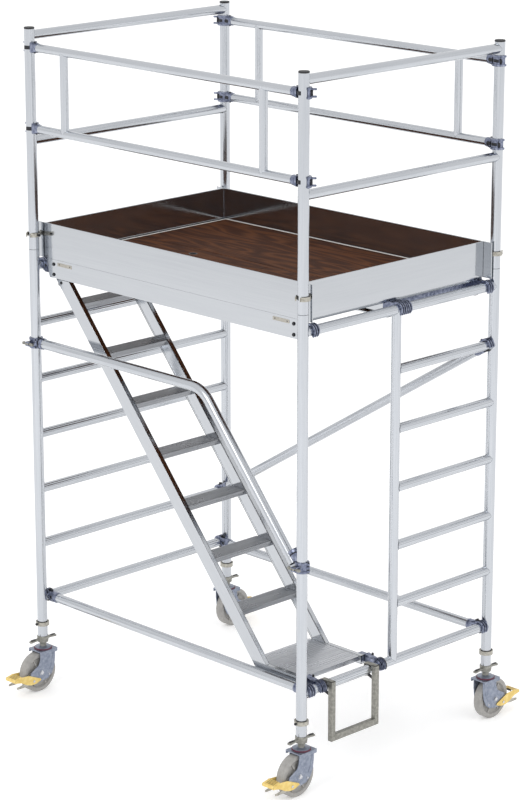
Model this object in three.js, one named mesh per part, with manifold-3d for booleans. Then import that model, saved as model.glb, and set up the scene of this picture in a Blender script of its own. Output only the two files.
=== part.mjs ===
// Mobile aluminium access tower: two ladder-type end frames on braked, levelling casters,
// a 1.8 m platform pair with a hatch, toe boards and guard rails, and a stair under the hatch.
// Units are millimetres. +X runs along the platform, +Y across it, +Z up, floor at Z = 0.
// The front-left, front-right, rear-left and rear-right posts are meant as seen from -Y.
import * as THREE from "three";
import { mergeVertices } from "three/addons/utils/BufferGeometryUtils.js";
import Module from "manifold-3d";

// ---------------------------------------------------------------- driving dimensions
const BAY_LENGTH = 1808; // post axis to post axis, along X
const BAY_WIDTH = 1266; // post axis to post axis, along Y
const TUBE_SIDES = 10; // facets on every round tube
const GAP = 0.3; // between faces that touch on the real tower
const GRIP_CLEARANCE = 0.6; // between a claw or coupler and the tube that it grips
const PIN_CLEARANCE = 0.5; // between a pin and the round hole that it turns in

const CASTER_WHEEL_RADIUS = 100;
const CASTER_WHEEL_WIDTH = 50;
const WHEEL_FACETS = 20;
const WHEEL_RIM_DEPTH = 20; // tread and its shoulders
const WHEEL_HUB_RADIUS = 36;
const WHEEL_DISH = 6; // the web is this far inside the hub's faces
const CASTER_TRAIL = 40;
const AXLE_RADIUS = 9;
const AXLE_CLEARANCE = 1;
const AXLE_HEAD = 7; // bolt head and nut outside the cheeks
const WHEEL_HEADROOM = 8; // wheel to fork plate
const FORK_PLATE_THICKNESS = 6;
const FORK_PLATE_X = 95;
const FORK_PLATE_Y = 112;
const FORK_RIM_DEPTH = 18;
const FORK_RIM_WALL = 5;
const CHEEK_THICKNESS = 6;
const CHEEK_GAP = 2.5;
const CHEEK_THROAT = 45; // spindle axis to the cheek's front edge under the plate
const CHEEK_SKIRT = 42; // how far the cheek drops from the plate before it sweeps outwards
const CHEEK_FOOT = [
  [-16, 42], [-40, 28], [-64, 15], [-74, -6], [-70, -34], [-44, -48],
  [0, -46], [40, -40], [68, -18], [84, 16],
]; // lower outline about the axle, along Y and Z
const KINGPIN_RADIUS = 10;
const BEARING_RADIUS = 36;
const FLANGE_RADIUS = 33;
const FLANGE_THICKNESS = 6; // of the bearing ring and of the flange on it
const SPINDLE_RADIUS = 17;
const SPINDLE_WALL = 4;
const SPINDLE_TRAVEL = 200;
const SPINDLE_LEFT_IN_POST = 150; // stem still inside the post at full travel
const NUT_ROOM = 66; // fork plate to the post's foot
const NUT_HEIGHT = 32;
const NUT_RADIUS = 29;
const NUT_ARM_SPAN = 165;
const NUT_ARM_WIDTH = 22;
const NUT_ARM_THICKNESS = 10;
const NUT_ARM_LIFT = 12;
const PEDAL_WALL = 4;
const PEDAL_TREAD = 43; // depth of the tread plate
const PEDAL_RISE = 40; // pivot up to the tread
const PEDAL_LIP = 22; // depth of the turned-down lip
const PEDAL_PAST_WHEEL = 19; // tread's outer edge, beyond a wheel radius from the pivot
const PIVOT_RADIUS = 5;
const PIVOT_BACK = 54; // brake pivot from the axle, outwards
const PIVOT_DROP = 30; // ... and down

const POST_RADIUS = 25;
const POST_WALL = 2.5;
const FIRST_RUNG_RISE = 202; // post's foot to the first rung's axis
const SEAM_RISE = 83; // top rung's axis to the joint between base and guard frames
const GUARD_POST_LENGTH = 1055;
const SPIGOT_LENGTH = 150;
const SPIGOT_WALL = 3;
const SPIGOT_SLEEVE = 40; // part of the spigot that is pressed into the upper post
const CAP_THICKNESS = 8;
const CAP_PLUG = 7;
const CLIP_RISE = 72; // frame joint to the clip's middle
const CLIP_HEIGHT = 20;
const CLIP_ROOM = 6; // post to the band
const CLIP_WALL = 2;
const CLIP_PIN = 12; // locking pin head's reach from the band
const CLIP_MOUTH = 24;

const RUNG_RADIUS = 22.5;
const RUNG_WALL = 2.2;
const RUNG_COUNT = 7;
const RUNG_PITCH = 280;
const DOOR_POST_Y = -35; // the post that closes the doorway of the right frame
const VENT_RADIUS = 8; // welded tubes are vented into each other

const GUARD_END_RAIL_DROP = [530, 31]; // below the post's top
const GUARD_SIDE_RAIL_DROP = [470, 86];
const GUARD_TUBE_RADIUS = 20;
const GUARD_TUBE_WALL = 2;
const GUARD_UPRIGHT_INSET = 245; // from a post axis to the short upright beside it
const GUARD_UPRIGHT_RADIUS = 19.5;
const WEEP_RADIUS = 5;

const CLAW_WALL = 11;
const CLAW_WIDTH = 34;
const CLAW_REACH = 62; // from the gripped tube's axis to the end of the claw's neck
const CLAW_MOUTH = 8; // how far past the gripped axis the claw's fingers reach
const CLAW_SOCKET = 6; // how far a neck enters its tube
const POST_CLAW_WIDTH = 50;
const FINGER_RADIUS = 5;
const FINGER_REACH = 56; // post axis to the tips of a guard claw's two fingers
const FINGER_SPREAD = 32; // between them, along Z
const FINGER_TURN = 0.7; // radians inwards from the platform's direction
const NECK_SIDES = 8;

const BRACE_RADIUS = 22.5;
const BRACE_WALL = 2;
const BRACE_PLUG = 8; // solid metal behind each neck
const BRACE_POST_GAP = 1; // post to the claw beside it
const DIAGONAL_RUNGS = [2, 6];

const DECK_RISE = 53; // top rung's axis to the walking surface
const DECK_THICKNESS = 12;
const DECK_RAIL_OVERLAP = 14; // deck's end to the rails' end
const DECK_SEAT = 25; // width of the ledge under the plywood's ends
const PLATFORM_POST_GAP = 15; // post to the platform's side
const PLATFORM_SPLIT = 2.5; // half the gap between the two platforms
const RAIL_DEPTH = 104; // walking surface to the rails' lower edge
const RAIL_POST_GAP = 17; // post to the rails' end
const RAIL_FLANGE = 26;
const RAIL_WALL = 3;
const RAIL_CHAMFER = [22, 35]; // slanted lower corner at each rail end, along X and up Z
const LIP_INSET = 8; // outer rail face to the strip that edges the plywood
const LIP_WIDTH = 2.5;
const CROSS_BEAM_WIDTH = 30;
const CROSS_BEAM_DEPTH = 36;
const END_BEAM_DEPTH = 12;
const END_BEAM_DROP = 2; // below the walking surface
const HATCH_END_GAP = 2;
const HATCH_LENGTH = 906;
const HATCH_PANEL_GAP = 4;
const HATCH_LEDGE = 8; // how far the cross beam reaches under the lid
const FINGER_HOLE_RADIUS = 18;
const FINGER_HOLE_INSET = 60;
const FRONT_BEAM_INSET = 388; // from the deck's end
const REAR_BEAM_INSET = 565;
const PLATFORM_CLAW_WIDTH = 32;
const PLATFORM_ARM_OVERLAP = 40; // of a platform claw's arm with its rail
const PLATFORM_ARM_DROP = 30; // below the rung's axis

const TOE_BOARD_RISE = 158;
const TOE_BOARD_THICKNESS = 6;
const TOE_BOARD_OVERRUN = 16; // past the post axes
const END_BOARD_POST_GAP = 8; // post to an end toe board's outer face, along X
const END_BOARD_LIFT = 3; // between the platform rails' top and an end board

const STAIR_TREADS = 7;
const STAIR_BRACE_GAP = 2.5; // bottom rail to the near stringer
const STAIR_FAR_Y = -172; // the treads' far end
const FIRST_NOSING_INSET = 252; // left post axes to the top tread's front edge
const LANDING_RISE = 38; // first rung's axis to the landing
const LANDING_LENGTH = 326;
const LANDING_FRONT_INSET = 78; // right post axes to the landing's front edge
const LANDING_SETBACK = 74; // last tread's front edge to the landing's rear edge
const TREAD_DEPTH = 105;
const TREAD_EDGE = 24; // depth of the turned-down edges
const TREAD_WALL = 3;
const STRINGER_DEPTH = 70;
const STRINGER_WIDTH = 25;
const STRINGER_WALL = 4;
const STRINGER_HEADROOM = 12; // stringer's top to the platform rails
const STRINGER_FOOT_DEPTH = 40;
const STRINGER_FOOT_OVERRUN = 8; // past the landing's front edge
const STAIR_CLAW_WIDTH = 36;
const STAIR_TOP_CLAW_WIDTH = 26;

const HANDRAIL_DROP = 430; // walking surface to the level part's axis
const HANDRAIL_OVER_NOSINGS = 863;
const HANDRAIL_RADIUS = 24;
const HANDRAIL_WALL = 2;
const HANDRAIL_BEND = 150; // bend radius at the knee
const HANDRAIL_BEND_STEPS = 6;
const COUPLER_HEIGHT = 50;
const COUPLER_WALL = 9;
const COUPLER_REACH = 48; // from the post axis to the end of the tube that it holds
const COUPLER_BOLT_REACH = 26; // lug in front of the ring
const COUPLER_LUG_HALF = [14, 11]; // lug, along X and Z
const COUPLER_WING_HALF = [38, 7]; // wing nut, along X and Z
const COUPLER_WING = [14, 22]; // wing nut's faces in front of the ring

const STEP_DROP = 264; // rung axis down to the foot of the hanging step
const STEP_FIRST_LEG_INSET = 68; // from the treads' near end
const STEP_LEG_WIDTH = 25;
const STEP_LEG_DEPTH = 24;
const STEP_WALL = 4;
const STEP_BAR_HEIGHT = 30;
const STEP_HOOK_LIP = 19; // how far the hook comes down behind the rung

// ---------------------------------------------------------------- values worked out from them
const POST_X = BAY_LENGTH / 2;
const POST_Y = BAY_WIDTH / 2;
const FORK_PLATE_LOW_Z = 2 * CASTER_WHEEL_RADIUS + WHEEL_HEADROOM;
const FORK_PLATE_TOP_Z = FORK_PLATE_LOW_Z + FORK_PLATE_THICKNESS;
const POST_FOOT_Z = FORK_PLATE_TOP_Z + NUT_ROOM;
const FIRST_RUNG_Z = POST_FOOT_Z + FIRST_RUNG_RISE;
const rungZ = (number) => FIRST_RUNG_Z + (number - 1) * RUNG_PITCH;
const TOP_RUNG_Z = rungZ(RUNG_COUNT);
const FRAME_SEAM_Z = TOP_RUNG_Z + SEAM_RISE;
const POST_TOP_Z = FRAME_SEAM_Z + GUARD_POST_LENGTH;
const SHARE_OF_RADIUS = Math.cos(Math.PI / TUBE_SIDES); // flat of a faceted tube to its corner
const BRACE_Y = POST_Y - POST_RADIUS - BRACE_POST_GAP - CLAW_WIDTH / 2;
const DECK_Z = TOP_RUNG_Z + DECK_RISE;
const PLATFORM_HALF_WIDTH = POST_Y - POST_RADIUS - PLATFORM_POST_GAP;
const RAIL_TOP_Z = DECK_Z - DECK_THICKNESS - GAP;
const RAIL_BOTTOM_Z = DECK_Z - RAIL_DEPTH;
const RAIL_HALF_LENGTH = POST_X - POST_RADIUS - RAIL_POST_GAP;
const DECK_HALF_LENGTH = RAIL_HALF_LENGTH - DECK_RAIL_OVERLAP;
const HATCH_START_X = HATCH_END_GAP - DECK_HALF_LENGTH;
const HATCH_END_X = HATCH_START_X + HATCH_LENGTH;
const TOE_BOARD_TOP_Z = DECK_Z + TOE_BOARD_RISE;
const LANDING_Z = FIRST_RUNG_Z + LANDING_RISE;
const LANDING_FRONT_X = POST_X - LANDING_FRONT_INSET;
const STAIR_NEAR_Y = -BRACE_Y + BRACE_RADIUS + STAIR_BRACE_GAP + STRINGER_WIDTH;
const TOP_NOSING_X = -POST_X + FIRST_NOSING_INSET;
const LAST_NOSING_X = LANDING_FRONT_X - LANDING_LENGTH - LANDING_SETBACK;
const TREAD_RISE = (DECK_Z - LANDING_Z) / (STAIR_TREADS + 1);
const TREAD_GOING = (LAST_NOSING_X - TOP_NOSING_X) / (STAIR_TREADS - 1);
const STAIR_SLOPE = Math.atan2(TREAD_RISE, TREAD_GOING);
const HANDRAIL_Z = DECK_Z - HANDRAIL_DROP;
const WHEEL_Y = -CASTER_TRAIL;
const WHEEL_INNER_FACE = CASTER_WHEEL_WIDTH / 2 + CHEEK_GAP;
const CHEEK_OUTER_FACE = WHEEL_INNER_FACE + CHEEK_THICKNESS;
const PEDAL_PIVOT = { y: WHEEL_Y - PIVOT_BACK, z: CASTER_WHEEL_RADIUS - PIVOT_DROP };

// ---------------------------------------------------------------- finishes
const finish = (color, roughness, metalness) =>
  new THREE.MeshStandardMaterial({ color, roughness, metalness });
const ALUMINIUM = finish(0xc9ccd1, 0.38, 0.9);
const CASTING = finish(0x6b7186, 0.5, 0.8);
const PLYWOOD = finish(0x4f2c1e, 0.55, 0);
const GALVANISED = finish(0x8a8a85, 0.5, 0.85);
const FORK_STEEL = finish(0x8b90a6, 0.4, 0.7);
const WHEEL_GREY = finish(0x9a9894, 0.7, 0);
const PEDAL_YELLOW = finish(0xe8c860, 0.45, 0);
const CLIP_STEEL = finish(0xb8b2a6, 0.4, 0.8);
const CAP_BLACK = finish(0x1c1c1e, 0.6, 0);

// ---------------------------------------------------------------- solid helpers
const wasm = await Module();
wasm.setup();

function solid(geometry) {
  const bare = geometry.clone();
  bare.deleteAttribute("normal");
  bare.deleteAttribute("uv");
  const merged = mergeVertices(bare, 1e-3);
  const vertProperties = merged.getAttribute("position").array;
  const triVerts = new Uint32Array(merged.index.array);
  return new wasm.Manifold(new wasm.Mesh({ numProp: 3, vertProperties, triVerts }));
}

function join(...pieces) {
  return pieces.flat().reduce((whole, piece) => whole.add(piece));
}

function cut(body, ...tools) {
  return tools.flat().reduce((rest, tool) => rest.subtract(tool), body);
}

const at = (x, y, z) => new THREE.Vector3(x, y, z);
const ALONG_X = at(1, 0, 0);
const ALONG_Y = at(0, 1, 0);
const ALONG_Z = at(0, 0, 1);

// A faceted rod from one point to another.
function rod(from, to, radius, sides = TUBE_SIDES) {
  const along = to.clone().sub(from);
  const geometry = new THREE.CylinderGeometry(radius, radius, along.length(), sides);
  const turn = new THREE.Quaternion().setFromUnitVectors(at(0, 1, 0), along.normalize());
  geometry.applyQuaternion(turn);
  const middle = from.clone().add(to).multiplyScalar(0.5);
  return solid(geometry.translate(middle.x, middle.y, middle.z));
}

// The same rod, wide enough that its flats clear a round of the given radius.
function clearRod(from, to, radius, sides = TUBE_SIDES) {
  return rod(from, to, radius / Math.cos(Math.PI / sides), sides);
}

function block([x0, x1], [y0, y1], [z0, z1]) {
  const geometry = new THREE.BoxGeometry(x1 - x0, y1 - y0, z1 - z0);
  return solid(geometry.translate((x0 + x1) / 2, (y0 + y1) / 2, (z0 + z1) / 2));
}

// A prism along X, Y or Z. Points are (y, z), (x, z) or (x, y), counter-clockwise.
const PRISM_AXES = {
  X: [at(0, 1, 0), at(0, 0, 1), at(1, 0, 0)],
  Y: [at(1, 0, 0), at(0, 0, 1), at(0, -1, 0)],
  Z: [at(1, 0, 0), at(0, 1, 0), at(0, 0, 1)],
};

function prism(axis, points, low, high) {
  const shape = new THREE.Shape(points.map(([a, b]) => new THREE.Vector2(a, b)));
  const options = { depth: high - low, bevelEnabled: false };
  const geometry = new THREE.ExtrudeGeometry(shape, options);
  const [u, v, w] = PRISM_AXES[axis];
  const place = new THREE.Matrix4().makeBasis(u, v, w);
  const start = axis === "Y" ? -high : low;
  place.setPosition(w.clone().multiplyScalar(start));
  return solid(geometry.applyMatrix4(place));
}

const group = new THREE.Group();
const span = (a, b) => (a < b ? [a, b] : [b, a]);
const about = (middle, half) => [middle - half, middle + half];

// Adds a solid as a named mesh, under the tower or under a caster's own group.
function addPart(name, body, material, parent = group) {
  const made = body.getMesh();
  const geometry = new THREE.BufferGeometry();
  const position = new THREE.BufferAttribute(made.vertProperties, made.numProp);
  geometry.setAttribute("position", position);
  geometry.setIndex(new THREE.BufferAttribute(made.triVerts, 1));
  const faceted = geometry.toNonIndexed();
  faceted.computeVertexNormals();
  const mesh = new THREE.Mesh(faceted, material);
  mesh.name = name;
  parent.add(mesh);
}

// Joins hollow tubes so that their bores meet. Each tube is {from, to, radius, wall}, and
// bore gives the ends of its bore where they differ from the ends of the tube.
function weldedTubes(tubes, vents = []) {
  const outside = tubes.map((t) => rod(t.from, t.to, t.radius));
  const bores = tubes.map((t) => {
    const [from, to] = t.bore ?? [t.from, t.to];
    return rod(from, to, t.radius - t.wall);
  });
  return cut(join(outside), bores, vents);
}

// A drain hole from a tube's axis down through its wall.
function weep(point, radius) {
  return rod(point.clone().addScaledVector(ALONG_Z, -2 * radius), point, WEEP_RADIUS, NECK_SIDES);
}

// ---------------------------------------------------------------- end frames
function rungTube(x, y0, y1, z) {
  return { from: at(x, y0, z), to: at(x, y1, z), radius: RUNG_RADIUS, wall: RUNG_WALL };
}

function postTube(x, y, z0, z1) {
  return { from: at(x, y, z0), to: at(x, y, z1), radius: POST_RADIUS, wall: POST_WALL };
}

function baseFrameLeft() {
  const tubes = [-POST_Y, POST_Y].map((y) => postTube(-POST_X, y, POST_FOOT_Z, FRAME_SEAM_Z));
  for (let number = 1; number <= RUNG_COUNT; number++) {
    tubes.push(rungTube(-POST_X, -POST_Y, POST_Y, rungZ(number)));
  }
  return weldedTubes(tubes);
}

// The right frame is a portal: its rungs stop at a middle post and leave a doorway.
function baseFrameRight() {
  const tubes = [-POST_Y, POST_Y].map((y) => postTube(POST_X, y, POST_FOOT_Z, FRAME_SEAM_Z));
  for (let number = 1; number <= RUNG_COUNT; number++) {
    const full = number === 1 || number === RUNG_COUNT;
    tubes.push(rungTube(POST_X, full ? -POST_Y : DOOR_POST_Y, POST_Y, rungZ(number)));
  }
  const doorPost = postTube(POST_X, DOOR_POST_Y, FIRST_RUNG_Z, TOP_RUNG_Z);
  doorPost.bore = [
    at(POST_X, DOOR_POST_Y, FIRST_RUNG_Z + RUNG_RADIUS),
    at(POST_X, DOOR_POST_Y, TOP_RUNG_Z - RUNG_RADIUS),
  ];
  tubes.push(doorPost);
  return weldedTubes(tubes, [rod(doorPost.from, doorPost.to, VENT_RADIUS)]);
}

function guardFrame(x) {
  const foot = FRAME_SEAM_Z + GAP;
  const tubes = [-POST_Y, POST_Y].map((y) => {
    const post = postTube(x, y, foot, POST_TOP_Z);
    post.bore = [at(x, y, foot + SPIGOT_SLEEVE), at(x, y, POST_TOP_Z)];
    return post;
  });
  for (const drop of GUARD_END_RAIL_DROP) {
    tubes.push(rungTube(x, -POST_Y, POST_Y, POST_TOP_Z - drop));
  }
  const boreRadius = POST_RADIUS - POST_WALL;
  const spigotRadius = boreRadius * SHARE_OF_RADIUS - GRIP_CLEARANCE;
  const spigots = [];
  const channels = [];
  for (const y of [-POST_Y, POST_Y]) {
    const low = at(x, y, foot - SPIGOT_LENGTH);
    const high = at(x, y, foot + SPIGOT_SLEEVE);
    spigots.push(rod(low, high, spigotRadius));
    channels.push(rod(low, high, spigotRadius - SPIGOT_WALL));
  }
  return cut(join(weldedTubes(tubes), spigots), channels);
}

function endCap(x, y) {
  const insert = (POST_RADIUS - POST_WALL) * SHARE_OF_RADIUS - GRIP_CLEARANCE;
  const seat = POST_TOP_Z + GAP;
  const flange = rod(at(x, y, seat), at(x, y, seat + CAP_THICKNESS), POST_RADIUS);
  const plug = rod(at(x, y, POST_TOP_Z - CAP_PLUG), at(x, y, seat), insert);
  return join(flange, plug);
}

// A spring band on the post, with its locking pin's head, at a frame joint.
function jointClip(x, y, z) {
  const inner = POST_RADIUS + CLIP_ROOM;
  const half = CLIP_HEIGHT / 2;
  const low = at(x, y, z - half);
  const high = at(x, y, z + half);
  const band = cut(rod(low, high, inner / SHARE_OF_RADIUS + CLIP_WALL), clearRod(low, high, inner));
  const outwards = span(y, y + Math.sign(y) * 2 * POST_RADIUS);
  const mouth = block(about(x, CLIP_MOUTH / 2), outwards, about(z, CLIP_HEIGHT));
  const pin = [POST_RADIUS + GRIP_CLEARANCE, inner + CLIP_PIN].map((reach) =>
    at(x - Math.sign(x) * reach, y, z),
  );
  return join(cut(band, mouth), rod(...pin, WEEP_RADIUS, NECK_SIDES));
}

// ---------------------------------------------------------------- claws
// A cast claw that hooks around a tube. toward points from the gripped tube along the neck.
function claw({ centre, axis, toward, gripRadius, width }) {
  const outer = gripRadius + CLAW_WALL;
  const along = (distance) => centre.clone().addScaledVector(axis, distance);
  const neckEnd = centre.clone().addScaledVector(toward, CLAW_REACH);
  const neck = rod(centre, neckEnd, Math.min(width / 2, outer) - 1, NECK_SIDES);
  const grip = clearRod(along(-width), along(width), gripRadius + GRIP_CLEARANCE);
  const size = 2 * (outer + width);
  const cutter = new THREE.BoxGeometry(size, size, size);
  const down = toward.clone().cross(axis);
  const place = new THREE.Matrix4().makeBasis(toward, axis, down);
  place.setPosition(centre.clone().addScaledVector(toward, -(size / 2 + CLAW_MOUTH)));
  const opening = solid(cutter.applyMatrix4(place));
  return cut(join(rod(along(-width / 2), along(width / 2), outer), neck), grip, opening);
}

// A brace tube between two claws, both gripping rungs that run along Y.
function clawedBrace(start, end) {
  const direction = end.clone().sub(start).normalize();
  const back = direction.clone().negate();
  const inset = CLAW_REACH - CLAW_SOCKET;
  const from = start.clone().addScaledVector(direction, inset);
  const to = end.clone().addScaledVector(back, inset);
  const boreFrom = from.clone().addScaledVector(direction, BRACE_PLUG);
  const boreTo = to.clone().addScaledVector(back, BRACE_PLUG);
  const tube = cut(rod(from, to, BRACE_RADIUS), rod(boreFrom, boreTo, BRACE_RADIUS - BRACE_WALL));
  const grip = { axis: ALONG_Y, gripRadius: RUNG_RADIUS, width: CLAW_WIDTH };
  const claws = [
    claw({ ...grip, centre: start, toward: direction }),
    claw({ ...grip, centre: end, toward: back }),
  ];
  const drain = boreFrom.clone().addScaledVector(direction, 2 * WEEP_RADIUS + BRACE_RADIUS);
  return cut(join(tube, claws), weep(drain, BRACE_RADIUS));
}

// A claw that wraps a post's inner side, with its mouth outwards and a latch with two fingers.
function guardClaw(side, y, z) {
  const x = side * POST_X;
  const inwards = -Math.sign(y);
  const outer = POST_RADIUS + CLAW_WALL;
  const free = POST_RADIUS + GRIP_CLEARANCE;
  const [low, high] = about(z, POST_CLAW_WIDTH / 2);
  const ring = rod(at(x, y, low), at(x, y, high), outer);
  const neckEnd = at(x - side * CLAW_REACH, y, z);
  const neck = rod(at(x, y, z), neckEnd, POST_CLAW_WIDTH / 2 - 1, NECK_SIDES);
  const fingers = about(z, FINGER_SPREAD / 2).map((level) => {
    const [from, to] = [free + 2, FINGER_REACH].map((reach) =>
      at(
        x + side * reach * Math.cos(FINGER_TURN),
        y + inwards * reach * Math.sin(FINGER_TURN),
        level,
      ),
    );
    return rod(from, to, FINGER_RADIUS, NECK_SIDES);
  });
  const grip = clearRod(at(x, y, low - outer), at(x, y, high + outer), free);
  const mouthX = span(x - side * free, x + side * 2 * outer);
  const mouthY = span(y - inwards * CLAW_MOUTH, y - inwards * 2 * outer);
  return cut(join(ring, neck, fingers), grip, block(mouthX, mouthY, [low - 1, high + 1]));
}

// Two guard tubes with short uprights, and claws that grip the corner posts.
function doubleGuardRail(y) {
  const end = POST_X - CLAW_REACH + CLAW_SOCKET;
  const uprightX = POST_X - GUARD_UPRIGHT_INSET;
  const [low, high] = GUARD_SIDE_RAIL_DROP.map((drop) => POST_TOP_Z - drop);
  const rail = { radius: GUARD_TUBE_RADIUS, wall: GUARD_TUBE_WALL };
  const upright = { radius: GUARD_UPRIGHT_RADIUS, wall: GUARD_TUBE_WALL };
  const tubes = [low, high].map((z) => ({ from: at(-end, y, z), to: at(end, y, z), ...rail }));
  for (const x of [-uprightX, uprightX]) {
    tubes.push({ from: at(x, y, low), to: at(x, y, high), ...upright });
  }
  const claws = [];
  const weeps = [];
  for (const z of [low, high]) {
    claws.push(guardClaw(-1, y, z), guardClaw(1, y, z));
    weeps.push(weep(at(0, y, z), GUARD_TUBE_RADIUS));
  }
  return cut(join(weldedTubes(tubes), claws), weeps);
}

// ---------------------------------------------------------------- platforms
// One edge rail: an outward web, a top and a bottom flange, and a lip that edges the plywood.
function platformRail(outerY, inward) {
  const across = (from, width) => span(outerY + inward * from, outerY + inward * (from + width));
  const length = [-RAIL_HALF_LENGTH, RAIL_HALF_LENGTH];
  const profile = join(
    block(length, across(0, RAIL_WALL), [RAIL_BOTTOM_Z, RAIL_TOP_Z]),
    block(length, across(0, RAIL_FLANGE), [RAIL_TOP_Z - RAIL_WALL, RAIL_TOP_Z]),
    block(length, across(0, RAIL_FLANGE), [RAIL_BOTTOM_Z, RAIL_BOTTOM_Z + RAIL_WALL]),
    block(length, across(LIP_INSET, LIP_WIDTH), [RAIL_TOP_Z - RAIL_WALL, DECK_Z]),
  );
  const [cutX, cutZ] = RAIL_CHAMFER;
  const corners = [-1, 1].map((side) => {
    const corner = [
      [side * (RAIL_HALF_LENGTH - cutX), RAIL_BOTTOM_Z],
      [side * (RAIL_HALF_LENGTH + cutX), RAIL_BOTTOM_Z - cutZ],
      [side * (RAIL_HALF_LENGTH + cutX), RAIL_BOTTOM_Z + 2 * cutZ],
      [side * RAIL_HALF_LENGTH, RAIL_BOTTOM_Z + cutZ],
    ];
    if (side < 0) corner.reverse();
    return prism("Y", corner, ...about(outerY, 2 * RAIL_FLANGE));
  });
  return cut(profile, corners);
}

function platformFrame(sideY, crossBeamXs) {
  const outerY = sideY * PLATFORM_HALF_WIDTH;
  const innerY = sideY * PLATFORM_SPLIT;
  const [lowY, highY] = span(outerY, innerY);
  const between = [lowY + 1, highY - 1];
  const rails = [platformRail(outerY, -sideY), platformRail(innerY, sideY)];
  const beams = crossBeamXs.map((x) =>
    block(about(x, CROSS_BEAM_WIDTH / 2), between, [RAIL_TOP_Z - CROSS_BEAM_DEPTH, RAIL_TOP_Z]),
  );
  const insideBoards = span(sideY * (PLATFORM_HALF_WIDTH - LIP_INSET - 1), innerY + sideY);
  const endBeamLow = RAIL_TOP_Z - END_BEAM_DEPTH;
  const halfClaw = PLATFORM_CLAW_WIDTH / 2;
  const ends = [-1, 1].flatMap((side) => {
    const beyondDeck = span(side * (DECK_HALF_LENGTH + GAP), side * RAIL_HALF_LENGTH);
    const ledge = span(side * (DECK_HALF_LENGTH - DECK_SEAT), side * RAIL_HALF_LENGTH);
    return [
      block(beyondDeck, insideBoards, [endBeamLow, DECK_Z - END_BEAM_DROP]),
      block(ledge, between, [endBeamLow, RAIL_TOP_Z]),
      platformClaw(side, lowY + halfClaw),
      platformClaw(side, highY - halfClaw),
    ];
  });
  return join(rails, beams, ends);
}

// A hook over a rung that runs along Y, from one y to another, and what is cut out of it.
function rungHook(x, ys, z) {
  const hook = rod(at(x, ys[0], z), at(x, ys[1], z), RUNG_RADIUS + CLAW_WALL);
  const past = CLAW_WIDTH;
  const from = at(x, ys[0] - past, z);
  const to = at(x, ys[1] + past, z);
  return { hook, grip: clearRod(from, to, RUNG_RADIUS + GRIP_CLEARANCE) };
}

// A claw that drops over the top rung from above and carries a rail's end.
function platformClaw(side, y) {
  const ys = about(y, PLATFORM_CLAW_WIDTH / 2);
  const { hook, grip } = rungHook(side * POST_X, ys, TOP_RUNG_Z);
  const armX = span(side * (RAIL_HALF_LENGTH - PLATFORM_ARM_OVERLAP), side * POST_X);
  const armZ = [TOP_RUNG_Z - PLATFORM_ARM_DROP, RAIL_TOP_Z - END_BEAM_DEPTH + 1];
  const post = POST_RADIUS + 2 * GRIP_CLEARANCE;
  const mouthX = span(side * (POST_X - post), side * (POST_X + 2 * post));
  const below = [TOP_RUNG_Z - 2 * post, TOP_RUNG_Z + GAP];
  const mouth = block(mouthX, about(y, PLATFORM_CLAW_WIDTH), below);
  return cut(join(hook, block(armX, ys, armZ)), grip, mouth);
}

function deckPanel(sideY, x0, x1) {
  const inset = LIP_INSET + LIP_WIDTH + GAP;
  const ys = span(sideY * (PLATFORM_SPLIT + inset), sideY * (PLATFORM_HALF_WIDTH - inset));
  return block([x0, x1], ys, [RAIL_TOP_Z + GAP, DECK_Z]);
}

// The hatch lid, with a finger hole near its free edge.
function hatchLid() {
  const lid = deckPanel(-1, HATCH_START_X, HATCH_END_X);
  const middle = (HATCH_START_X + HATCH_END_X) / 2;
  const y = -PLATFORM_SPLIT - LIP_INSET - FINGER_HOLE_INSET;
  const [low, high] = about(DECK_Z, 2 * DECK_THICKNESS);
  return cut(lid, rod(at(middle, y, low), at(middle, y, high), FINGER_HOLE_RADIUS));
}

function sideToeBoard(side) {
  const ys = span(side * PLATFORM_HALF_WIDTH, side * (PLATFORM_HALF_WIDTH - TOE_BOARD_THICKNESS));
  const halfLength = POST_X + TOE_BOARD_OVERRUN;
  return block([-halfLength, halfLength], ys, [RAIL_TOP_Z + GAP, TOE_BOARD_TOP_Z]);
}

function endToeBoard(side) {
  const outer = POST_X - POST_RADIUS - END_BOARD_POST_GAP;
  const xs = span(side * outer, side * (outer - TOE_BOARD_THICKNESS));
  const reach = PLATFORM_HALF_WIDTH - TOE_BOARD_THICKNESS - GAP;
  return block(xs, [-reach, reach], [RAIL_TOP_Z + END_BOARD_LIFT, TOE_BOARD_TOP_Z]);
}

// ---------------------------------------------------------------- stair
const nosingX = (number) => TOP_NOSING_X + (number - 1) * TREAD_GOING;
const treadZ = (number) => DECK_Z - number * TREAD_RISE;

// A folded plate with turned-down edges, front edge at x, running across the stair.
function foldedPlate(x, depth, z) {
  const ys = [STAIR_NEAR_Y + GAP, STAIR_FAR_Y - GAP];
  const whole = block([x - depth, x], ys, [z - TREAD_EDGE, z]);
  const hollow = [x - depth + TREAD_WALL, x - TREAD_WALL];
  const wide = [STAIR_NEAR_Y - TREAD_WALL, STAIR_FAR_Y + TREAD_WALL];
  return cut(whole, block(hollow, wide, [z - 2 * TREAD_EDGE, z - TREAD_WALL]));
}

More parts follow.
